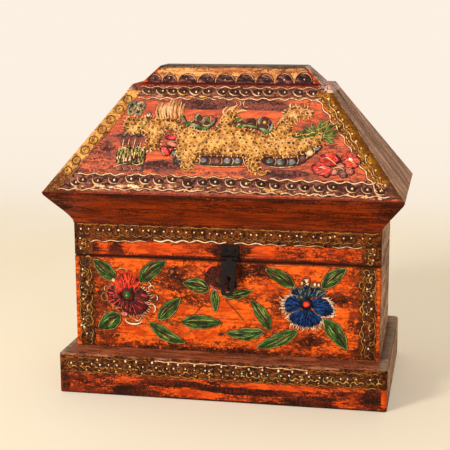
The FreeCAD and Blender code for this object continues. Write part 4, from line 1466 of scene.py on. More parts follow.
    def figure(self) -> None:
        """Raise the body of the beast, its scales, its mane, its plumes and the curls of its legs."""
        relief = self.relief
        relief.tufts((GOLD, AMBER, BRIGHT_GOLD, AMBER), self.beast, 2.6, 0.5, 2.1)
        relief.pad(GOLD, self.beast, 0.85, 1.6, 0.9, 1, shape=beast_hide)
        relief.pad(AMBER, self.plume, 0.8, 1.6, 1, 0.9, shape=beast_hide)
        relief.tufts((AMBER, GOLD, CREAM), self.plume, 2.8, 1, 3.4)
        relief.scales(self.beast, 4.5, 4)
        relief.scales(self.plume, 5.2, 4.4)
        for u in np.arange(-63, -40, 2.5):
            top = 90 + relief.stray(1.6)
            relief.stroke(AMBER, (u + 1.5, 71, u + relief.stray(0.8), 81, u + 1.2, top), 1.5, 0.9, shade=0.35)
            if relief.chance(0.6):
                relief.stroke(CREAM, (u + 2, 76, u + 1, 82, u + 2.4, top + 1), 0.45, 1.2)
        relief.strokes(AMBER, ((-6, 70, -2, 78, 3, 84, 8, 87), (-2, 70, 3, 77, 9, 81, 15, 83),
            (4, 78, 6, 84, 10, 88), (0, 76, -3, 81, 1, 86), (8, 78, 13, 82, 19, 82), (44, 64, 49, 73, 53, 80),
            (48, 70, 54, 77, 56, 84)), 1.3, 0.9)
        relief.strokes(CREAM, ((5, 91.5, 8, 90, 9.5, 86), (11, 92, 12.5, 88, 10, 85),
            (15.5, 92, 15, 88, 16, 85.5), (16, 85.5, 18, 85, 20.5, 86), (-2, 76, 2, 82, 7, 84),
            (57, 84, 61, 87, 66, 86), (64, 80, 70, 84, 76, 82), (52, 78, 53, 83, 57, 86)), 0.5, 1.2)
        for centre, radius, start, end in (((-31, 28), 5, 150, 300), ((-31, 28), 2.6, 120, 330),
                ((-26, 23), 3, 0, 200), ((30, 29), 6, 130, 330), ((30, 30), 3.6, 60, 300),
                ((37, 25), 4, 180, 380), ((42, 22), 3.4, 20, 200), ((24, 32), 3, 90, 270),
                ((52, 62), 5, 0, 350), ((52, 62), 2.4, 0, 340), ((84, 53), 4, 20, 260),
                ((84, 53), 1.8, 0, 330), ((60, 79), 3.6, 0, 270), ((72, 76), 2.6, 60, 340),
                ((-64, 47), 3.6, 90, 300)):
            relief.curl(GOLD, centre, radius, start, end, 0.6, 1.5, shade=0.5)

    def head(self) -> None:
        """Set the beast's eye, the curls and the beads of its jaw."""
        relief = self.relief
        relief.dome(DOT, (-71, 76.5), 2.2, 1, base=0.4, shade=0.7)
        relief.dome(INK, (-71, 76.8), 1, 0.6, base=1.3)
        for u, v, turn in ((-89, 66, 0), (-82, 65, 20), (-84, 71, 10), (-77, 62, 60), (-76, 70, 200),
                (-88, 61, 30)):
            relief.curl(SHADE, (u, v), 2.2, turn, turn + 190, 0.55, 1.6, stretch=0.8)
        relief.dome(MOSS, (-74, 68), 2.6, 1.7, 1.3, 20, shade=0.6)
        for u, v in ((-91, 57), (-87.5, 60), (-84, 57.5), (-80.5, 60), (-77.5, 57)):
            relief.dome(SLATE, (u, v), 2.2, 0.8, 1.1, 20, shade=0.5)
            relief.stroke(DOT, (u - 1.2, v + 0.6, u - 0.2, v + 1.5, u + 1, v + 0.8), 0.4, 1.1)

    def fans(self) -> None:
        """Set the two crests of curling leaves on the beast's back."""
        relief = self.relief
        relief.pad(SHADE, (-42, 77, -37, 69, -29, 64.5, -20, 62, -12, 64.5, -7, 72, -9, 75, -14, 71, -20, 74,
            -24, 78, -28, 72, -34, 71, -37, 76), 0.5, 1.4, 1, 0.4)
        relief.pad(SHADE, (6, 71, 12, 75.5, 18, 71, 24, 75.5, 29, 73, 34, 77, 40, 74, 43, 68, 43, 60, 37, 60,
            29, 63, 19, 65, 11, 66), 0.5, 1.4, 1, 0.4)
        relief.strokes(TEAL, ((-40.5, 79, -39.5, 74, -35, 70), (-36, 69.5, -28, 66.5, -21, 65.5),
            (-24, 79, -27, 75, -26, 69), (-16, 75, -20, 70, -18, 66), (-9, 74, -12, 69, -18, 65),
            (31, 68, 30, 73, 32, 76), (39, 61, 42, 66, 42, 71), (29, 66, 35, 64, 41, 61)), 1.7, 0.9)
        relief.strokes(GREEN, ((-38, 71, -33, 67.5, -28, 66), (-25, 65.5, -18, 64.3, -13, 66),
            (7, 70, 11, 73, 17, 73), (9, 68, 15, 67, 21, 66.5), (20, 67, 27, 66.5, 30, 65),
            (31, 64.5, 37, 62, 42, 60.5)), 1.5, 0.9)
        relief.strokes(PLUM, ((17, 70, 22, 73.5, 27, 71), (19, 68.5, 23, 70, 27, 69),
            (-24, 72, -22, 70, -21, 73), (31, 69, 33, 74.5, 38, 74), (38, 74, 40, 70, 36, 67.5)), 1.8, 0.9)
        relief.strokes(MOSS, ((-34, 70.5, -28, 68, -22, 67), (-20, 73, -16, 74, -14, 70),
            (-22, 68, -16, 66.5, -11, 69), (14, 68, 21, 67.6, 28, 66.6)), 1, 1.1)
        relief.strokes(CREAM, ((-41, 79, -41.5, 75, -37, 70), (-34, 72, -30, 70.5, -27, 74),
            (-22, 70, -18, 75, -13, 76), (-14, 68.5, -13, 72, -14, 76.5), (10, 70.5, 13, 72, 16, 75),
            (28.5, 67, 28.5, 71, 30, 74), (38, 63, 39.5, 66, 39, 69), (-38, 66.5, -29, 63, -19, 61, -11, 62)),
            0.5, 1.3)
        relief.dome(DOT, (12.5, 68.5), 1.7, 1, 0.7)
        relief.dome(GOLD, (35.5, 71), 2, 1.2)
        relief.dome(BLUE, (40, 69), 1.3, 1.2)

    def segments(self) -> None:
        """Set the petals and the dark segments under the beast."""
        relief = self.relief
        for ground in ((-23, 33, -21, 38, -8, 38.6, 8, 38.6, 20, 38, 21, 33, 18, 29.2, 4, 28.4, -10, 28.8,
                -20, 29.6), (35, 35, 38, 39, 50, 38.4, 62, 38.6, 70, 42, 77, 47.5, 85, 52.5, 88.5, 49, 84, 43,
                76, 36, 68, 30.6, 56, 28.8, 44, 29.6, 37, 31.6),
                (-46, 42, -42, 44, -38, 38, -34.5, 31, -37, 26, -42, 31)):
            relief.pad(SHADE, ground, 0.45, 1.2, 1.1, 0.3)
        for centre, radius, stretch, tilt, pigment in (((-47, 55), 6, 0.42, -4, CRIMSON),
                ((-46, 48.5), 6.2, 0.42, -14, PINK), ((-51.5, 41.8), 5.6, 0.55, -42, CRIMSON),
                ((-43.5, 40), 3.6, 0.6, -45, SLATE), ((-39.5, 33), 4, 0.75, -60, SLATE),
                ((-16, 33.6), 3.8, 0.9, 0, SLATE), ((-5.5, 33.6), 5, 0.75, 0, PLUM),
                ((5.2, 33.6), 4.4, 0.85, 0, SLATE), ((14.5, 33.6), 4.2, 0.85, 0, SLATE),
                ((42.5, 34.4), 4.2, 0.75, 0, SLATE), ((52.5, 33.8), 5, 0.76, 0, SLATE),
                ((62.5, 34), 4.2, 0.95, 20, SLATE), ((71, 37), 4.4, 0.85, 45, PLUM),
                ((77.5, 42.8), 3.6, 0.9, 40, CREAM), ((83.5, 47), 3, 0.8, 30, SLATE)):
            relief.dome(pigment, centre, radius, 0.85, stretch, tilt, 0.25, 0.5)
            if pigment is SLATE:
                relief.curl(TEAL, centre, radius * 0.55, 190 + tilt, 350 + tilt, radius * 0.26, 1.3,
                    stretch=0.7)
                relief.curl(DOT, centre, radius * 0.62, 60 + tilt, 130 + tilt, 0.35, 1.4, stretch=0.7)
        relief.strokes(MAROON, ((-52, 53, -46, 52.4, -41, 54), (-51, 46, -45, 45, -40, 45.5),
            (-54, 39, -50, 37.6, -46.5, 38.5)), 0.8, 1.1, 0)
        relief.strokes(PINK, ((-51, 56, -46, 57, -42, 55.6), (-50, 50, -46, 50, -42, 48.5),
            (-54.5, 44, -52, 44.6, -49, 42)), 0.5, 1.3, 0)
        relief.strokes(CREAM, ((-51, 51, -45, 51.2, -40, 50), (-56, 46, -53, 39, -47, 37),
            (-40, 43, -42.5, 38, -44, 34)), 0.45, 1.2, 0.3)
        for u, v in ((-20, 33), (-10.6, 33), (-0.2, 33.2), (9.8, 33.3), (19, 33.4), (47.5, 34), (57.8, 33.6),
                (67, 35.4), (74.4, 40), (80.6, 45)):
            relief.curl(CREAM, (u - 2.4, v), 3.4, -60, 60, 0.5, 1.3, stretch=1.1, shade=0.3)
        relief.strokes(CREAM, ((-20, 29.2, -10, 28.2, 2, 28, 14, 29, 20, 31),
            (40, 30, 50, 28.8, 60, 29.4, 68, 31)), 0.45, 0.9)

    def feathers(self) -> None:
        """Fan out the green tail."""
        relief = self.relief
        for base, tip, width in (((82, 60), (58, 56.5), 4.2), ((84, 61), (64, 63), 4.4),
                ((80, 62), (70, 68), 3.6), ((82, 62), (77, 71), 3.6), ((84, 62), (86, 74), 3.8),
                ((86, 63), (93, 76), 4), ((86, 62), (100, 71), 4.2), ((88, 60), (101, 64), 3.8),
                ((88, 58), (101, 58), 3.6), ((87, 57), (98, 52.5), 3.6)):
            relief.leaf(base, tip, width * 0.9, 0.6, 1.2, GRASS)
        for points in ((88, 70, 92, 74, 95, 78), (94, 68, 98, 71, 101, 74), (62, 58, 72, 60, 82, 61),
                (80, 64, 86, 66, 92, 70)):
            relief.stroke(GOLD, points, 0.5, 1.9)

    def head_flower(self) -> None:
        """Set the four small dark petals over the beast's head."""
        relief = self.relief
        for place, radius in (((-87.5, 85.5), 4.6), ((-79, 85), 4.4), ((-88, 79), 3.6), ((-80.5, 79), 3.8)):
            relief.petal(SHADE, (TEAL, TEAL, SLATE, CREAM, MOSS), ring_points(place, radius), place, 1.2)
            relief.curl(TEAL, place, radius, 30, 200, 0.5, 1, stretch=0.9, shade=0.4)

    def striped_flower(self) -> None:
        """Set the striped green flower under the beast's head, with its stamens and sepals."""
        relief = self.relief
        relief.pad(SHADE, (-96, 30, -96, 41, -90, 44.5, -72, 44.5, -68.5, 39, -69, 31, -76, 27.5, -89, 27.5),
            0.45, 1.3, 1.1, 0.4)
        paints = (MOSS, CREAM, MOSS, BRIGHT_GOLD, GRASS, SHADE)
        for u in np.arange(-94, -70, 1.6):
            v = 29.5 + relief.stray()
            high = (41.5 if abs(u + 83) > 1.4 else 33) + relief.stray()
            while v < high:
                long, lean = relief.between(2.6, 6), relief.stray(0.8)
                relief.stroke(relief.any_of(paints), (u, v, u + lean, v + long / 2, u + lean * 0.4, v + long),
                    relief.between(0.6, 1.05), 0.95)
                v += long * 0.8
        relief.strokes(CREAM, ((-83, 44, -82.4, 36, -83, 29), (-98, 25, -91, 27.6, -84.5, 29.5),
            (-82, 30, -76, 27.6, -70, 31), (-95, 41, -90, 44, -84.6, 42), (-81, 43, -76, 45, -70, 41)), 0.5,
            1.2)
        for u, v, high in ((-91.5, 46, 6.5), (-86.5, 47, 6), (-81, 46.5, 7), (-75.5, 46, 4)):
            relief.stroke(PLUM, (u - 1.4, v, u - 1.8, v + high * 0.5, u - 0.8, v + high), 1.1, 0.7)
            relief.stroke(ROOF_DOT, (u, v - 1, u + 0.3, v + high * 0.5, u + 0.6, v + high), 0.9, 0.9,
                shade=0.5)
        for u in (-93, -87, -79.5, -74):
            relief.stroke(ROOF_DOT, (u - 2.4, 27, u, 23, u + 2.6, 27), 0.6, 0.9, shade=0.6)
            relief.dome(PLUM, (u + 2.4, 24), 2.2, 0.6, 1.2)
        for place in ((-85.2, 45), (-77.6, 46.2)):
            relief.dome(SHADE, place, 1.7, 1)
            relief.dome(GOLD, place, 0.7, 0.6, base=0.9)

    def crimson_flower(self) -> None:
        """Set the crimson flower by the right corner."""
        relief, middle = self.relief, (104.5, 33)
        for petal in ((86, 37, 90, 42.5, 97, 43, 103, 39.5, 103, 34.5, 97, 31, 91, 33),
                (104.5, 36, 107, 42.5, 113, 44.5, 119, 41, 121, 35, 117, 30, 110, 31),
                (80, 31, 85, 33.5, 93, 31.5, 98, 28, 95, 24, 88, 22.5, 82, 25.5)):
            relief.petal(CRIMSON, (CRIMSON, CRIMSON, RED, PINK), petal, middle, 1.4)
            relief.bead(SHADE, petal, 0.5, 0.9, closed=True)
        for centre, radius, stretch, tilt, pigment in (((99, 26), 4, 0.8, 20, PINK),
                ((106, 26), 4.2, 0.8, 0, PLUM), ((113, 26.5), 4.2, 0.7, -10, PINK),
                ((105, 31.5), 4, 0.6, 0, PINK), ((88, 27), 3.4, 0.7, 30, PLUM), ((93, 23), 3.4, 0.7, 0, PLUM),
                ((108, 22.5), 3.4, 0.6, 0, PLUM)):
            relief.dome(pigment, centre, radius, 0.8, stretch, tilt, shade=0.6)
            relief.curl(ROOF_DOT, centre, radius * 0.9, 40, 170, 0.4, 1.1, stretch=stretch, tilt=tilt)
        for points in ((88, 38, 93, 38.5, 98, 35, 102, 32), (106, 34, 110, 37, 115, 35, 118, 31),
                (84, 29, 89, 29.5, 94, 27), (98, 29, 103, 30, 108, 28)):
            relief.stroke(DOT, points, 0.5, 2)
        relief.dome(DOT, (113, 37.5), 2.6, 1.9, 0.7, -20)

    def bands(self) -> None:
        """Lay the two bands of wavy lines, with crescents and dots between them."""
        relief = self.relief
        for low, high, swing in (((-130, 17.8), (-60, 18.8), 0.9), ((-60, 18.6), (142, 16), 0.9),
                ((-146, 2.8), (-60, 5.2), 0.8), ((-60, 5.2), (148, 4.2), 0.8)):
            relief.wave(CREAM, low, high, 12.9, swing, 0.68, 0.03, 0.45)
        for u, v in self.bottom_dots:
            relief.dome(SHADE, (u, v - 0.2), 4, 0.3, 0.75)
            relief.stroke(CREAM, (u - 5.4, v + 2.6, u - 4.8, v - 0.8, u - 1.6, v - 3.4, u + 3.4, v - 3), 0.8,
                1, shade=0.3)
            relief.curl(SHADE, (u + 6, v + 0.4), 2.4, 10, 190, 0.9, 0.5, stretch=1.1)
            relief.dome(DOT, (u, v), relief.between(0.95, 1.2), 1, 1.2)
            for _ in range(3):
                relief.dome(relief.any_of((ROOF_DOT, ROOF_DOT, GOLD)),
                    (u + relief.between(-6, 6), v + relief.between(-7.5, -5)), relief.between(0.9, 2), 0.5,
                    0.7)
        for u, v, wide, paint in ((-108, 7.2, 7, CREAM), (-98, 6.6, 6, DOT), (-88, 7.6, 7.5, CREAM),
                (-77, 7.4, 8, DOT), (-69, 9, 4.5, AMBER), (-55, 8, 5, ROOF_DOT), (-43, 8.2, 6, ROOF_DOT),
                (-118, 9.6, 4, ROOF_DOT), (-20, 7.2, 4.5, ROOF_DOT), (10, 7, 5, ROOF_DOT),
                (44, 8, 6.5, BRIGHT_GOLD), (54, 6.4, 6, GOLD), (26, 14, 3.4, BRIGHT_GOLD),
                (96, 7, 4.5, ROOF_DOT)):
            relief.pad(paint, ring_points((u, v), wide, 0.34, tilt=relief.between(-8, 8)), 0.4, 1.2, 1.1, 0.8)
        relief.wave(CREAM, (-82, 104), (84, 104.6), 12.6, 0.9, 0.6, 0.05, 0.4)
        relief.wave(CREAM, (-84, 92.8), (84, 93.8), 12.6, 0.9, 0.6, 0.07, 0.4)
        for u in self.top_marks:
            relief.dome(SHADE, (u + 0.6, 100.6), 4.2, 0.3, 0.6)
            relief.stroke(GOLD if u == -42 else CREAM, (u - 5, 102, u - 3.6, 98.8, u, 96.6, u + 3.8, 97.2),
                0.8, 1, shade=0.3)
            relief.dome(DOT, (u + 1.6, 99.8 + relief.stray(0.4)), relief.between(0.75, 1), 0.9, 1.3)
        for u, paint in ((-62, ROOF_DOT), (-35, AMBER), (-23, BRIGHT_GOLD), (-10, ROOF_DOT), (60, OLIVE),
                (70, GOLD)):
            relief.pad(paint, ring_points((u, 95.2), 4.6, 0.34), 0.4, 1, 1.1, 0.4)

    def hips(self) -> None:
        """Lay the rings up the left hip, and two wavy lines with dots up the right one."""
        relief = self.relief
        foot = np.array([-self.half_width, 0])
        hip = np.array([self.end_run, ROOF_SLOPE]) / math.hypot(self.end_run, ROOF_SLOPE)
        inward = -left_of(hip)
        for along in np.arange(29, 122, 12.2):
            middle = foot + hip * along + inward * 6.2
            relief.ring(OLIVE, middle, 3.9, 0.55, 0.7, shade=0.2)
            relief.curl(GOLD, middle, 2, 40, 330, 0.5, 0.7, shade=0.15)
            relief.dome(BROWN, middle, 0.7, 0.6)
        start, end = foot + hip * 16 + inward * 12.4, foot + hip * 120 + inward * 12.2
        relief.wave(OLIVE, start, end, 12.2, 0.6, 0.5, 0.06)
        flip = np.array([-1, 1])
        foot, hip, inward = foot * flip, hip * flip, inward * flip
        for reach, radius, swing in ((14.6, 0.75, 1), (8.2, 0.5, 0.9)):
            start, end = foot + hip * 20 + inward * reach, foot + hip * 124 + inward * reach
            relief.wave(CREAM, start, end, 12.5, swing, radius, 0.02, 0.5)
        for along in np.arange(20, 122, 4.1):
            middle = foot + hip * along + inward * (10.6 + relief.stray(0.5))
            relief.stroke(relief.any_of((BRIGHT_GOLD, OLIVE)),
                (middle - hip * 1.6, middle + inward * 0.8, middle + hip * 1.8), 0.6, 0.8, shade=0.4)
        for along in np.arange(22, 122, 8):
            middle = foot + hip * along + inward * (6 + relief.stray(0.3))
            relief.dome(BRIGHT_GOLD, middle, relief.between(1.1, 1.5), 1, shade=0.4)
            middle = foot + hip * (along + 4) + inward * 11.6
            relief.dome(GOLD, middle, relief.between(0.7, 1), shade=0.5)

    def build(self) -> None:
        """Draw everything, in an order that keeps the random numbers the same."""
        for draw in (self.figure, self.head, self.fans, self.segments, self.feathers, self.head_flower,
                self.striped_flower, self.crimson_flower, self.bands, self.hips, self.relief.build):
            draw()


@dataclass
class Cap(Section):
    """The bevelled cap, with a row of scales on its front bevel."""

    foot: float = 280.2
    height: float = 16.0
    half_width: float = 83.5
    end_run: float = 16.5
    front: float = -29.0
    back: float = 15.0
    front_run: float = 9.0

    spans = ((-78, -64), (-64.5, -49.5), (-49.5, -31), (-31, -14), (-14.5, 4.5), (4.5, 22.5), (22.5, 40),
        (40, 57.5), (57.5, 75))
    rises = (9, 8.2, 9.4, 9.6, 9.8, 10.2, 9.8, 11, 11.8)

    def dress(self) -> None:
        """Paint the cap gold orange with red ends and a grey worn crown."""
        weather = Weather("cap_paint", 29.0)
        graph = weather.graph
        ragged = weather.ragged(160, 4.0, 3.0) - 2.0
        level = graph.z - self.foot
        ends = (abs(graph.x) + ragged + level * 0.9).step(self.half_width - 6.5, self.half_width - 3.5)
        weather.ground(CAP_GILT)
        weather.over(ends, RED_ORANGE)
        top = (level + ragged * 0.5).step(self.height - 2.8, self.height - 1.6)
        right = (level * (self.end_run / self.height) + graph.x - self.half_width).step(-1.0, -0.2)
        rear = (level * (self.front_run / self.height) + graph.y - self.back).step(-1.0, -0.2)
        plain = top.max(rear).max(right * 0.8)
        weather.over(plain, CROWN, seed=60.0)
        foot = level.fade(0.4, 1.2) * (1 - plain)
        weather.stain(foot * 0.9, "#601206")
        # Pale flecks on the cap's right end: partly chipped paint, partly a painted reflection of light on
        # the varnish.
        chips_and_glare = right * graph.noise((170, 170, 170), 3.0, 0.7, 61.0).step(0.47, 0.53)
        weather.stain(chips_and_glare * 0.85, "#d6bcae")
        put_on(weather.close(0.58, LONG_GRAIN, 0.5), "cap_block")

    def build(self) -> None:
        """Draw the scales."""
        bevel = Panel((0, self.front, self.foot), (0, self.front_run, self.height), Half.LID)
        relief = Relief("cap_relief", bevel, "cap_paint", 14)
        for (start, end), rise in zip(self.spans, self.rises):
            middle, half = (start + end) / 2, (end - start) / 2 - 0.5
            stretch = (rise - 0.8) / half
            outline = np.vstack([ring_points((middle, 0.8), half, stretch, 0, 180),
                (middle - half * 0.5, 0.5), (middle + half * 0.5, 0.5)])
            relief.pad(PLUM, outline, 1, 1.6, shape=rubbed_scale)
            relief.curl(SHADE, (middle, 0.8), half, 2, 178, 0.8, 1.2, stretch=stretch)
            relief.curl(ROOF_DOT, (middle, 0.8), half - 0.5, 8, 125, 0.55, 1.6, stretch=stretch)
            relief.curl(SHADE, (middle + 0.6, 3.6), 2, 20, 250, 0.5, 1.2, stretch=0.9)
            relief.dome(relief.any_of((DOT, ROOF_DOT, GOLD)),
                (middle + relief.stray(1.2), 4.2 + relief.stray(0.5)), 0.7, 0.7, 1.3, base=0.8)
        relief.bead(MAROON, (-80, 0.6, -40, 0.5, 0, 0.6, 40, 0.5, 80, 0.6), 0.7)
        relief.build()


@dataclass
class Plinth(Section):
    """The plinth, whose front rail is worn round and carries an embossed band set flush."""

    half: float = 150.0
    height: float = 38.0
    front: float = -90.0
    depth: float = 27.0
    corner: float = 4.0
    side_depth: float = 9.0
    band_low: float = 19.6
    band_high: float = 35.0
    band_front: float = -89.15
    painted_back: float = 63.4
    paint: Optional[bpy.types.Material] = None

    wear = (
        (-145, 10, 6, 12, 1.6), (-82, 5, 20, 7, 1.3), (-42, 14.5, 34, 3.6, 1.7), (24, 11, 50, 3.6, 1.7),
        (80, 5, 28, 6, 1), (137, 12, 9, 12, 1.5), (148, 12, 3.4, 10, -3.6), (52, 17, 56, 3.4, -0.9),
        (-24, 7, 34, 4, -0.9), (-92, 16, 18, 4, -0.5), (0, 0, 200, 2.6, 0.9), (114, 6, 14, 6, -0.4),
    )

    def dress(self) -> None:
        """Paint the rails red orange under a dark band, with a brown ledge whose front edge carries a pale
        line, partly rubbed paint and partly a painted highlight.
        """
        weather = Weather("plinth_paint", 37.0)
        graph = weather.graph
        ragged = weather.ragged(70, 3.0) - 1.5
        weather.ground(RED_ORANGE, graph.zones(self.wear, graph.z, 0.3))
        above = (graph.z + ragged).step(self.band_low - 0.6, self.band_low + 0.8)
        weather.over(above, BORDER)
        weather.plain_faces(self.half, self.painted_back)
        edge = self.height - 1.4
        ledge = graph.z.step(edge, edge + 1.0)
        sides = (abs(graph.x) + ragged * 2.0).step(140.0, 146.0)
        weather.over(ledge * (1.0 - sides), LEDGE, seed=50.0)
        weather.stain(ledge * sides, weather.wood("#b09478", "#6e5846", (40, 160, 40)))
        # A pale line along the ledge's front edge: partly rubbed paint, partly a painted highlight where the
        # edge catches light.
        near = (abs(graph.z - edge) + ragged * 0.3).fade(0.3, 1.0)
        rub_and_highlight = near * graph.noise((60, 60, 60), 3.0, 0.6, 57.0).step(0.46, 0.66) * graph.y.fade(-84.4, -84.0)
        weather.stain(rub_and_highlight * 0.7, "#c48064")
        self.paint = weather.close(0.55, LONG_GRAIN, 0.5)
        put_on(self.paint, "plinth_{}_rail", "plinth_nails")

    def profile(self) -> list[Point]:
        """List the depth and height of points round the rail, from under its back edge to over it."""
        back, groove, low, high = self.front + self.depth, self.band_front, self.band_low, self.band_high
        points = [(back, 0), (-70, 0), (-80, 0), (-88.8, 0), (-89.5, 0.35), (-89.93, 1.3)]
        points += [(-89.97, z) for z in np.arange(2.5, low - 0.8, 1.2)]
        points += [(-89.9, low - 0.5), (-89.25, low + 0.1)]
        points += [(groove, z) for z in np.arange(low + 1, high - 0.6, 1.2)]
        points += [(-89.2, high), (-89, 35.9), (-88.3, 36.9), (-87.3, 37.6), (-86, 37.95)]
        return points + [(y, self.height) for y in np.arange(-84.5, back - 0.5, 2.2)] + [(back, self.height)]

    def worn_place(self, share: float, y: float, z: float) -> tuple[float, float, float]:
        """Find where a point of the worn rail lies.

        Args:
            share: How far it is from the middle, from -1 at the left end to 1 at the right end.
            y: Its depth in the profile.
            z: Its height in the profile.

        Returns:
            Its place in millimetres.
        """
        mitre = self.side_depth * (y - self.front) / self.depth
        x = share * (self.half - mitre - 0.62 * max(0, min(1, (-85 - y) / 5)))
        near_end = min(1, max(0, (self.half - 1.2 - abs(x)) / 6))
        back = dent = inset = sink = 0
        if y < -80:
            over = max(0, abs(x) - (self.half - self.corner))
            back = self.corner - math.sqrt(max(0, self.corner ** 2 - over * over))
            back *= min(1, (-80 - y) / 6)
        if y < -80 and z > 0.1:
            edge = math.exp(-((z - 37) / 1.6) ** 2)
            dent = 0.18 * max(0, noise.noise(Vector((x * 0.09, z * 0.25, 2)))) * near_end
            dent += edge * near_end * 0.9 * max(0, noise.noise(Vector((x * 0.06, 3, 7))) + 0.15)
        if y < -88.9:
            inset = (1 - near_end) * min(0.85, max(0, y + 89.97))
        if z > 36 and -84 < y < -66:
            sink = 0.55 * max(0, noise.noise(Vector((x * 0.05, y * 0.05, 9)))) * near_end
        return x, y + back + dent - inset, z - sink

    def rail(self) -> None:
        """Build the worn front rail in place of the plain one."""
        profile = self.profile()
        across = np.concatenate([np.linspace(-1, -0.96, 12), np.linspace(-0.955, 0.955, 240),
            np.linspace(0.96, 1, 12)])
        points = [[c * MM for c in self.worn_place(share, y, z)] for share in across for y, z in profile]
        piece = new_piece("plinth_front_worn", points, grid_faces(len(across), len(profile)), self.paint)
        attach(piece, Half.BOX.value)
        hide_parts("plinth_front_rail")

    def band(self) -> None:
        """Emboss the band along the front rail."""
        relief = Relief("plinth_relief", Panel((0, self.band_front, 0), (0, 0, 1), Half.BOX), "plinth_paint",
            15)
        relief.wave(OLIVE, (-144, 20.6), (142, 20.8), 9, 0.5, 0.5, 0.12)
        relief.wave(CREAM, (-60, 34.4), (80, 34.6), 14, 0.4, 0.5, 0.05)
        relief.wave(OLIVE, (-144, 34), (-62, 34.4), 9, 0.5, 0.5, 0.12)
        relief.wave(OLIVE, (82, 34.4), (142, 34), 9, 0.5, 0.5, 0.12)
        for first, last, count, z, paint, radius, stretch, shade in ((-112, 79, 16, 32.6, DOT, 1, 1.5, 0),
                (-136, 134, 32, 28.4, DOT, 0.97, 1, 0.4), (-124, 117, 20, 22.6, GOLD, 0.9, 1, 0)):
            for x in np.linspace(first, last, count):
                place = (x + relief.stray(1.4), z + relief.stray(0.3))
                relief.dome(paint, place, radius * relief.between(0.88, 1.12), 0.6, stretch, shade=shade)
        for place in np.arange(-141, 143, 7.6):
            x, size = place + relief.stray(0.8), relief.between(0.85, 1.2)
            relief.ring(SHADE, (x, 27.4), 3.3 * size, 0.85, 0.45, stretch=1.1)
            turn = relief.between(100, 240)
            relief.curl(MOSS if x > 20 else OLIVE, (x + 0.7, 27), 2.5 * size, turn, turn + 200, 0.55, 0.6,
                stretch=1.1)
            relief.curl(OLIVE, (x + 3.8, 31.6), 2.2, 190, 350, 0.5, 0.55, stretch=0.8)
            relief.curl(GOLD, (x + 3.8, 24), 2.2 * size, 10, 170, 0.5, 0.5, stretch=0.8)
        relief.build()

    def build(self) -> None:
        """Make rail and band."""
        self.rail()
        self.band()


@dataclass
class Ironwork(Section):
    """The forged hinges, the hasp and its staple."""

    hinge: Colour = "#3a3230"
    hinge_rust: Colour = "#603a28"
    hasp: Colour = "#181010"
    hasp_rust: Colour = "#2a1c18"

    def dress(self) -> None:
        """Blacken the hasp, and leave the hinges a little rusty."""
        hinges = [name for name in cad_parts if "hinge" in name]
        put_on(iron_material("hinge_iron", self.hinge, self.hinge_rust, 2.0), *hinges)
        hasp = [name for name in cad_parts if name.startswith(("hasp", "staple"))]
        put_on(iron_material("hasp_iron", self.hasp, self.hasp_rust, 6.0), *hasp)


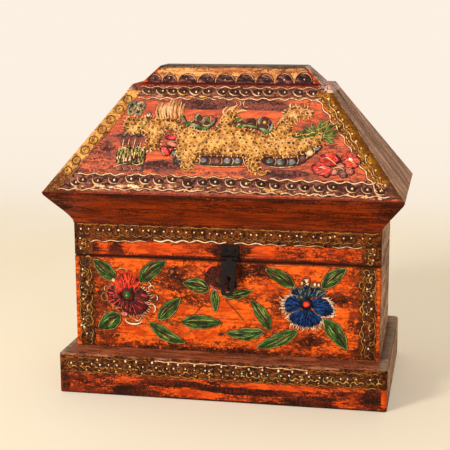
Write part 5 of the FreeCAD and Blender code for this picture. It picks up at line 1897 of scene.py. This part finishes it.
@dataclass
class Studio:
    """Pale floor, soft light and the camera at the photograph's angle."""

    camera_place: tuple[float, float, float] = (0.19997, -1.06049, 0.36180)
    camera_axes: tuple[tuple[float, float, float], ...] = ((0.98083403, 0.1947987, -0.0042518),
        (-0.03433247, 0.19426566, 0.98034797), (0.19179649, -0.96141267, 0.19723029))
    lens: float = 92.65
    daylight: float = 0.38
    wall: float = 0.9
    curve: float = 0.5

    lamps = (("key", (-1.15, -1.6, 0.95), (0, 0, 0.14), 0.6, 36.0, (1.0, 0.95, 0.88)),
        ("fill", (1.3, -1.7, 0.7), (0, 0, 0.12), 1.4, 6.0, (1.0, 0.96, 0.94)),
        ("top", (0.0, 0.1, 1.9), (0, 0, 0.1), 1.4, 5.0, (1.0, 0.97, 0.94)),)

    def lamp(self, name: str, place: Sequence[float], target: Sequence[float], size: float, power: float,
            colour: Sequence[float]) -> None:
        """Hang one soft lamp.

        Args:
            name: Its name.
            place: Where it hangs.
            target: What it points at.
            size: Its width.
            power: Its power in watts.
            colour: Its light.
        """
        data = bpy.data.lights.new(name, "AREA")
        data.shape, data.size, data.energy, data.color = "DISK", size, power, colour
        lamp = bpy.data.objects.new(name, data)
        bpy.context.scene.collection.objects.link(lamp)
        lamp.location = place
        lamp.rotation_euler = (Vector(target) - Vector(place)).to_track_quat("-Z", "Y").to_euler()

    def backdrop(self) -> None:
        """Lay a pale floor that curves up into a pale wall."""
        graph = Graph("pale_floor")
        cloud = graph.noise((6, 6, 6), 2.0, 0.5, 1.0)
        colour = graph.mix(cloud, "#fff0ce", "#fff6dc")
        floor = graph.shader(colour, 0.7, cloud, 0.1 * MM, 0.0, 0.2)
        path = graph.node("ShaderNodeLightPath", {}, {})
        seen = graph.output(path, "Is Camera Ray").max(graph.output(path, "Is Glossy Ray"))
        seen = seen.max(graph.output(path, "Is Transmission Ray"))
        glow = graph.node("ShaderNodeEmission", {}, {"Color": "#fcf0e2", "Strength": 1.0})
        both = graph.node("ShaderNodeMixShader", {},
            {0: seen * (0.25 + 0.75 * graph.y.step(350.0, 1300.0)), 1: floor, 2: graph.output(glow)})
        material = graph.finish(graph.output(both))
        wall, curve = self.wall, self.curve
        bend = [(wall + curve * math.sin(a), curve - curve * math.cos(a))
            for a in np.linspace(0.1, math.pi / 2, 12)]
        profile = [(-3.0, 0.0), (wall, 0.0)] + bend + [(wall + curve, 3.0)]
        points = [(x, y, z - 0.0002) for x in (-4.0, 4.0) for y, z in profile]
        new_piece("floor", points, grid_faces(2, len(profile)), material)

    def build(self) -> None:
        """Set up floor, lamps, sky and camera."""
        scene = bpy.context.scene
        self.backdrop()
        for lamp in self.lamps:
            self.lamp(*lamp)
        world = bpy.data.worlds.new("studio")
        world.use_nodes = True
        world.node_tree.nodes["Background"].inputs[0].default_value = light("#fff6ec")
        world.node_tree.nodes["Background"].inputs[1].default_value = self.daylight
        scene.world = world
        scene.view_settings.view_transform = "Standard"
        data = bpy.data.cameras.new("camera")
        data.lens, data.sensor_width = self.lens, 36.0
        camera = bpy.data.objects.new("camera", data)
        scene.collection.objects.link(camera)
        turn = Matrix(self.camera_axes).transposed().to_4x4()
        camera.matrix_world = Matrix.Translation(self.camera_place) @ turn
        scene.camera = camera


def main() -> None:
    """Build the box and its studio."""
    logging.basicConfig(level=logging.INFO, format="%(message)s")
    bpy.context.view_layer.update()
    for section in (Plinth(), Body(), Neck(), Cornice(), Roof(), Cap(), Ironwork()):
        section.dress()
        section.build()
        log.info("%s is done", type(section).__name__)
    Studio().build()
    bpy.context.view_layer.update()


if __name__ == "__main__":
    main()
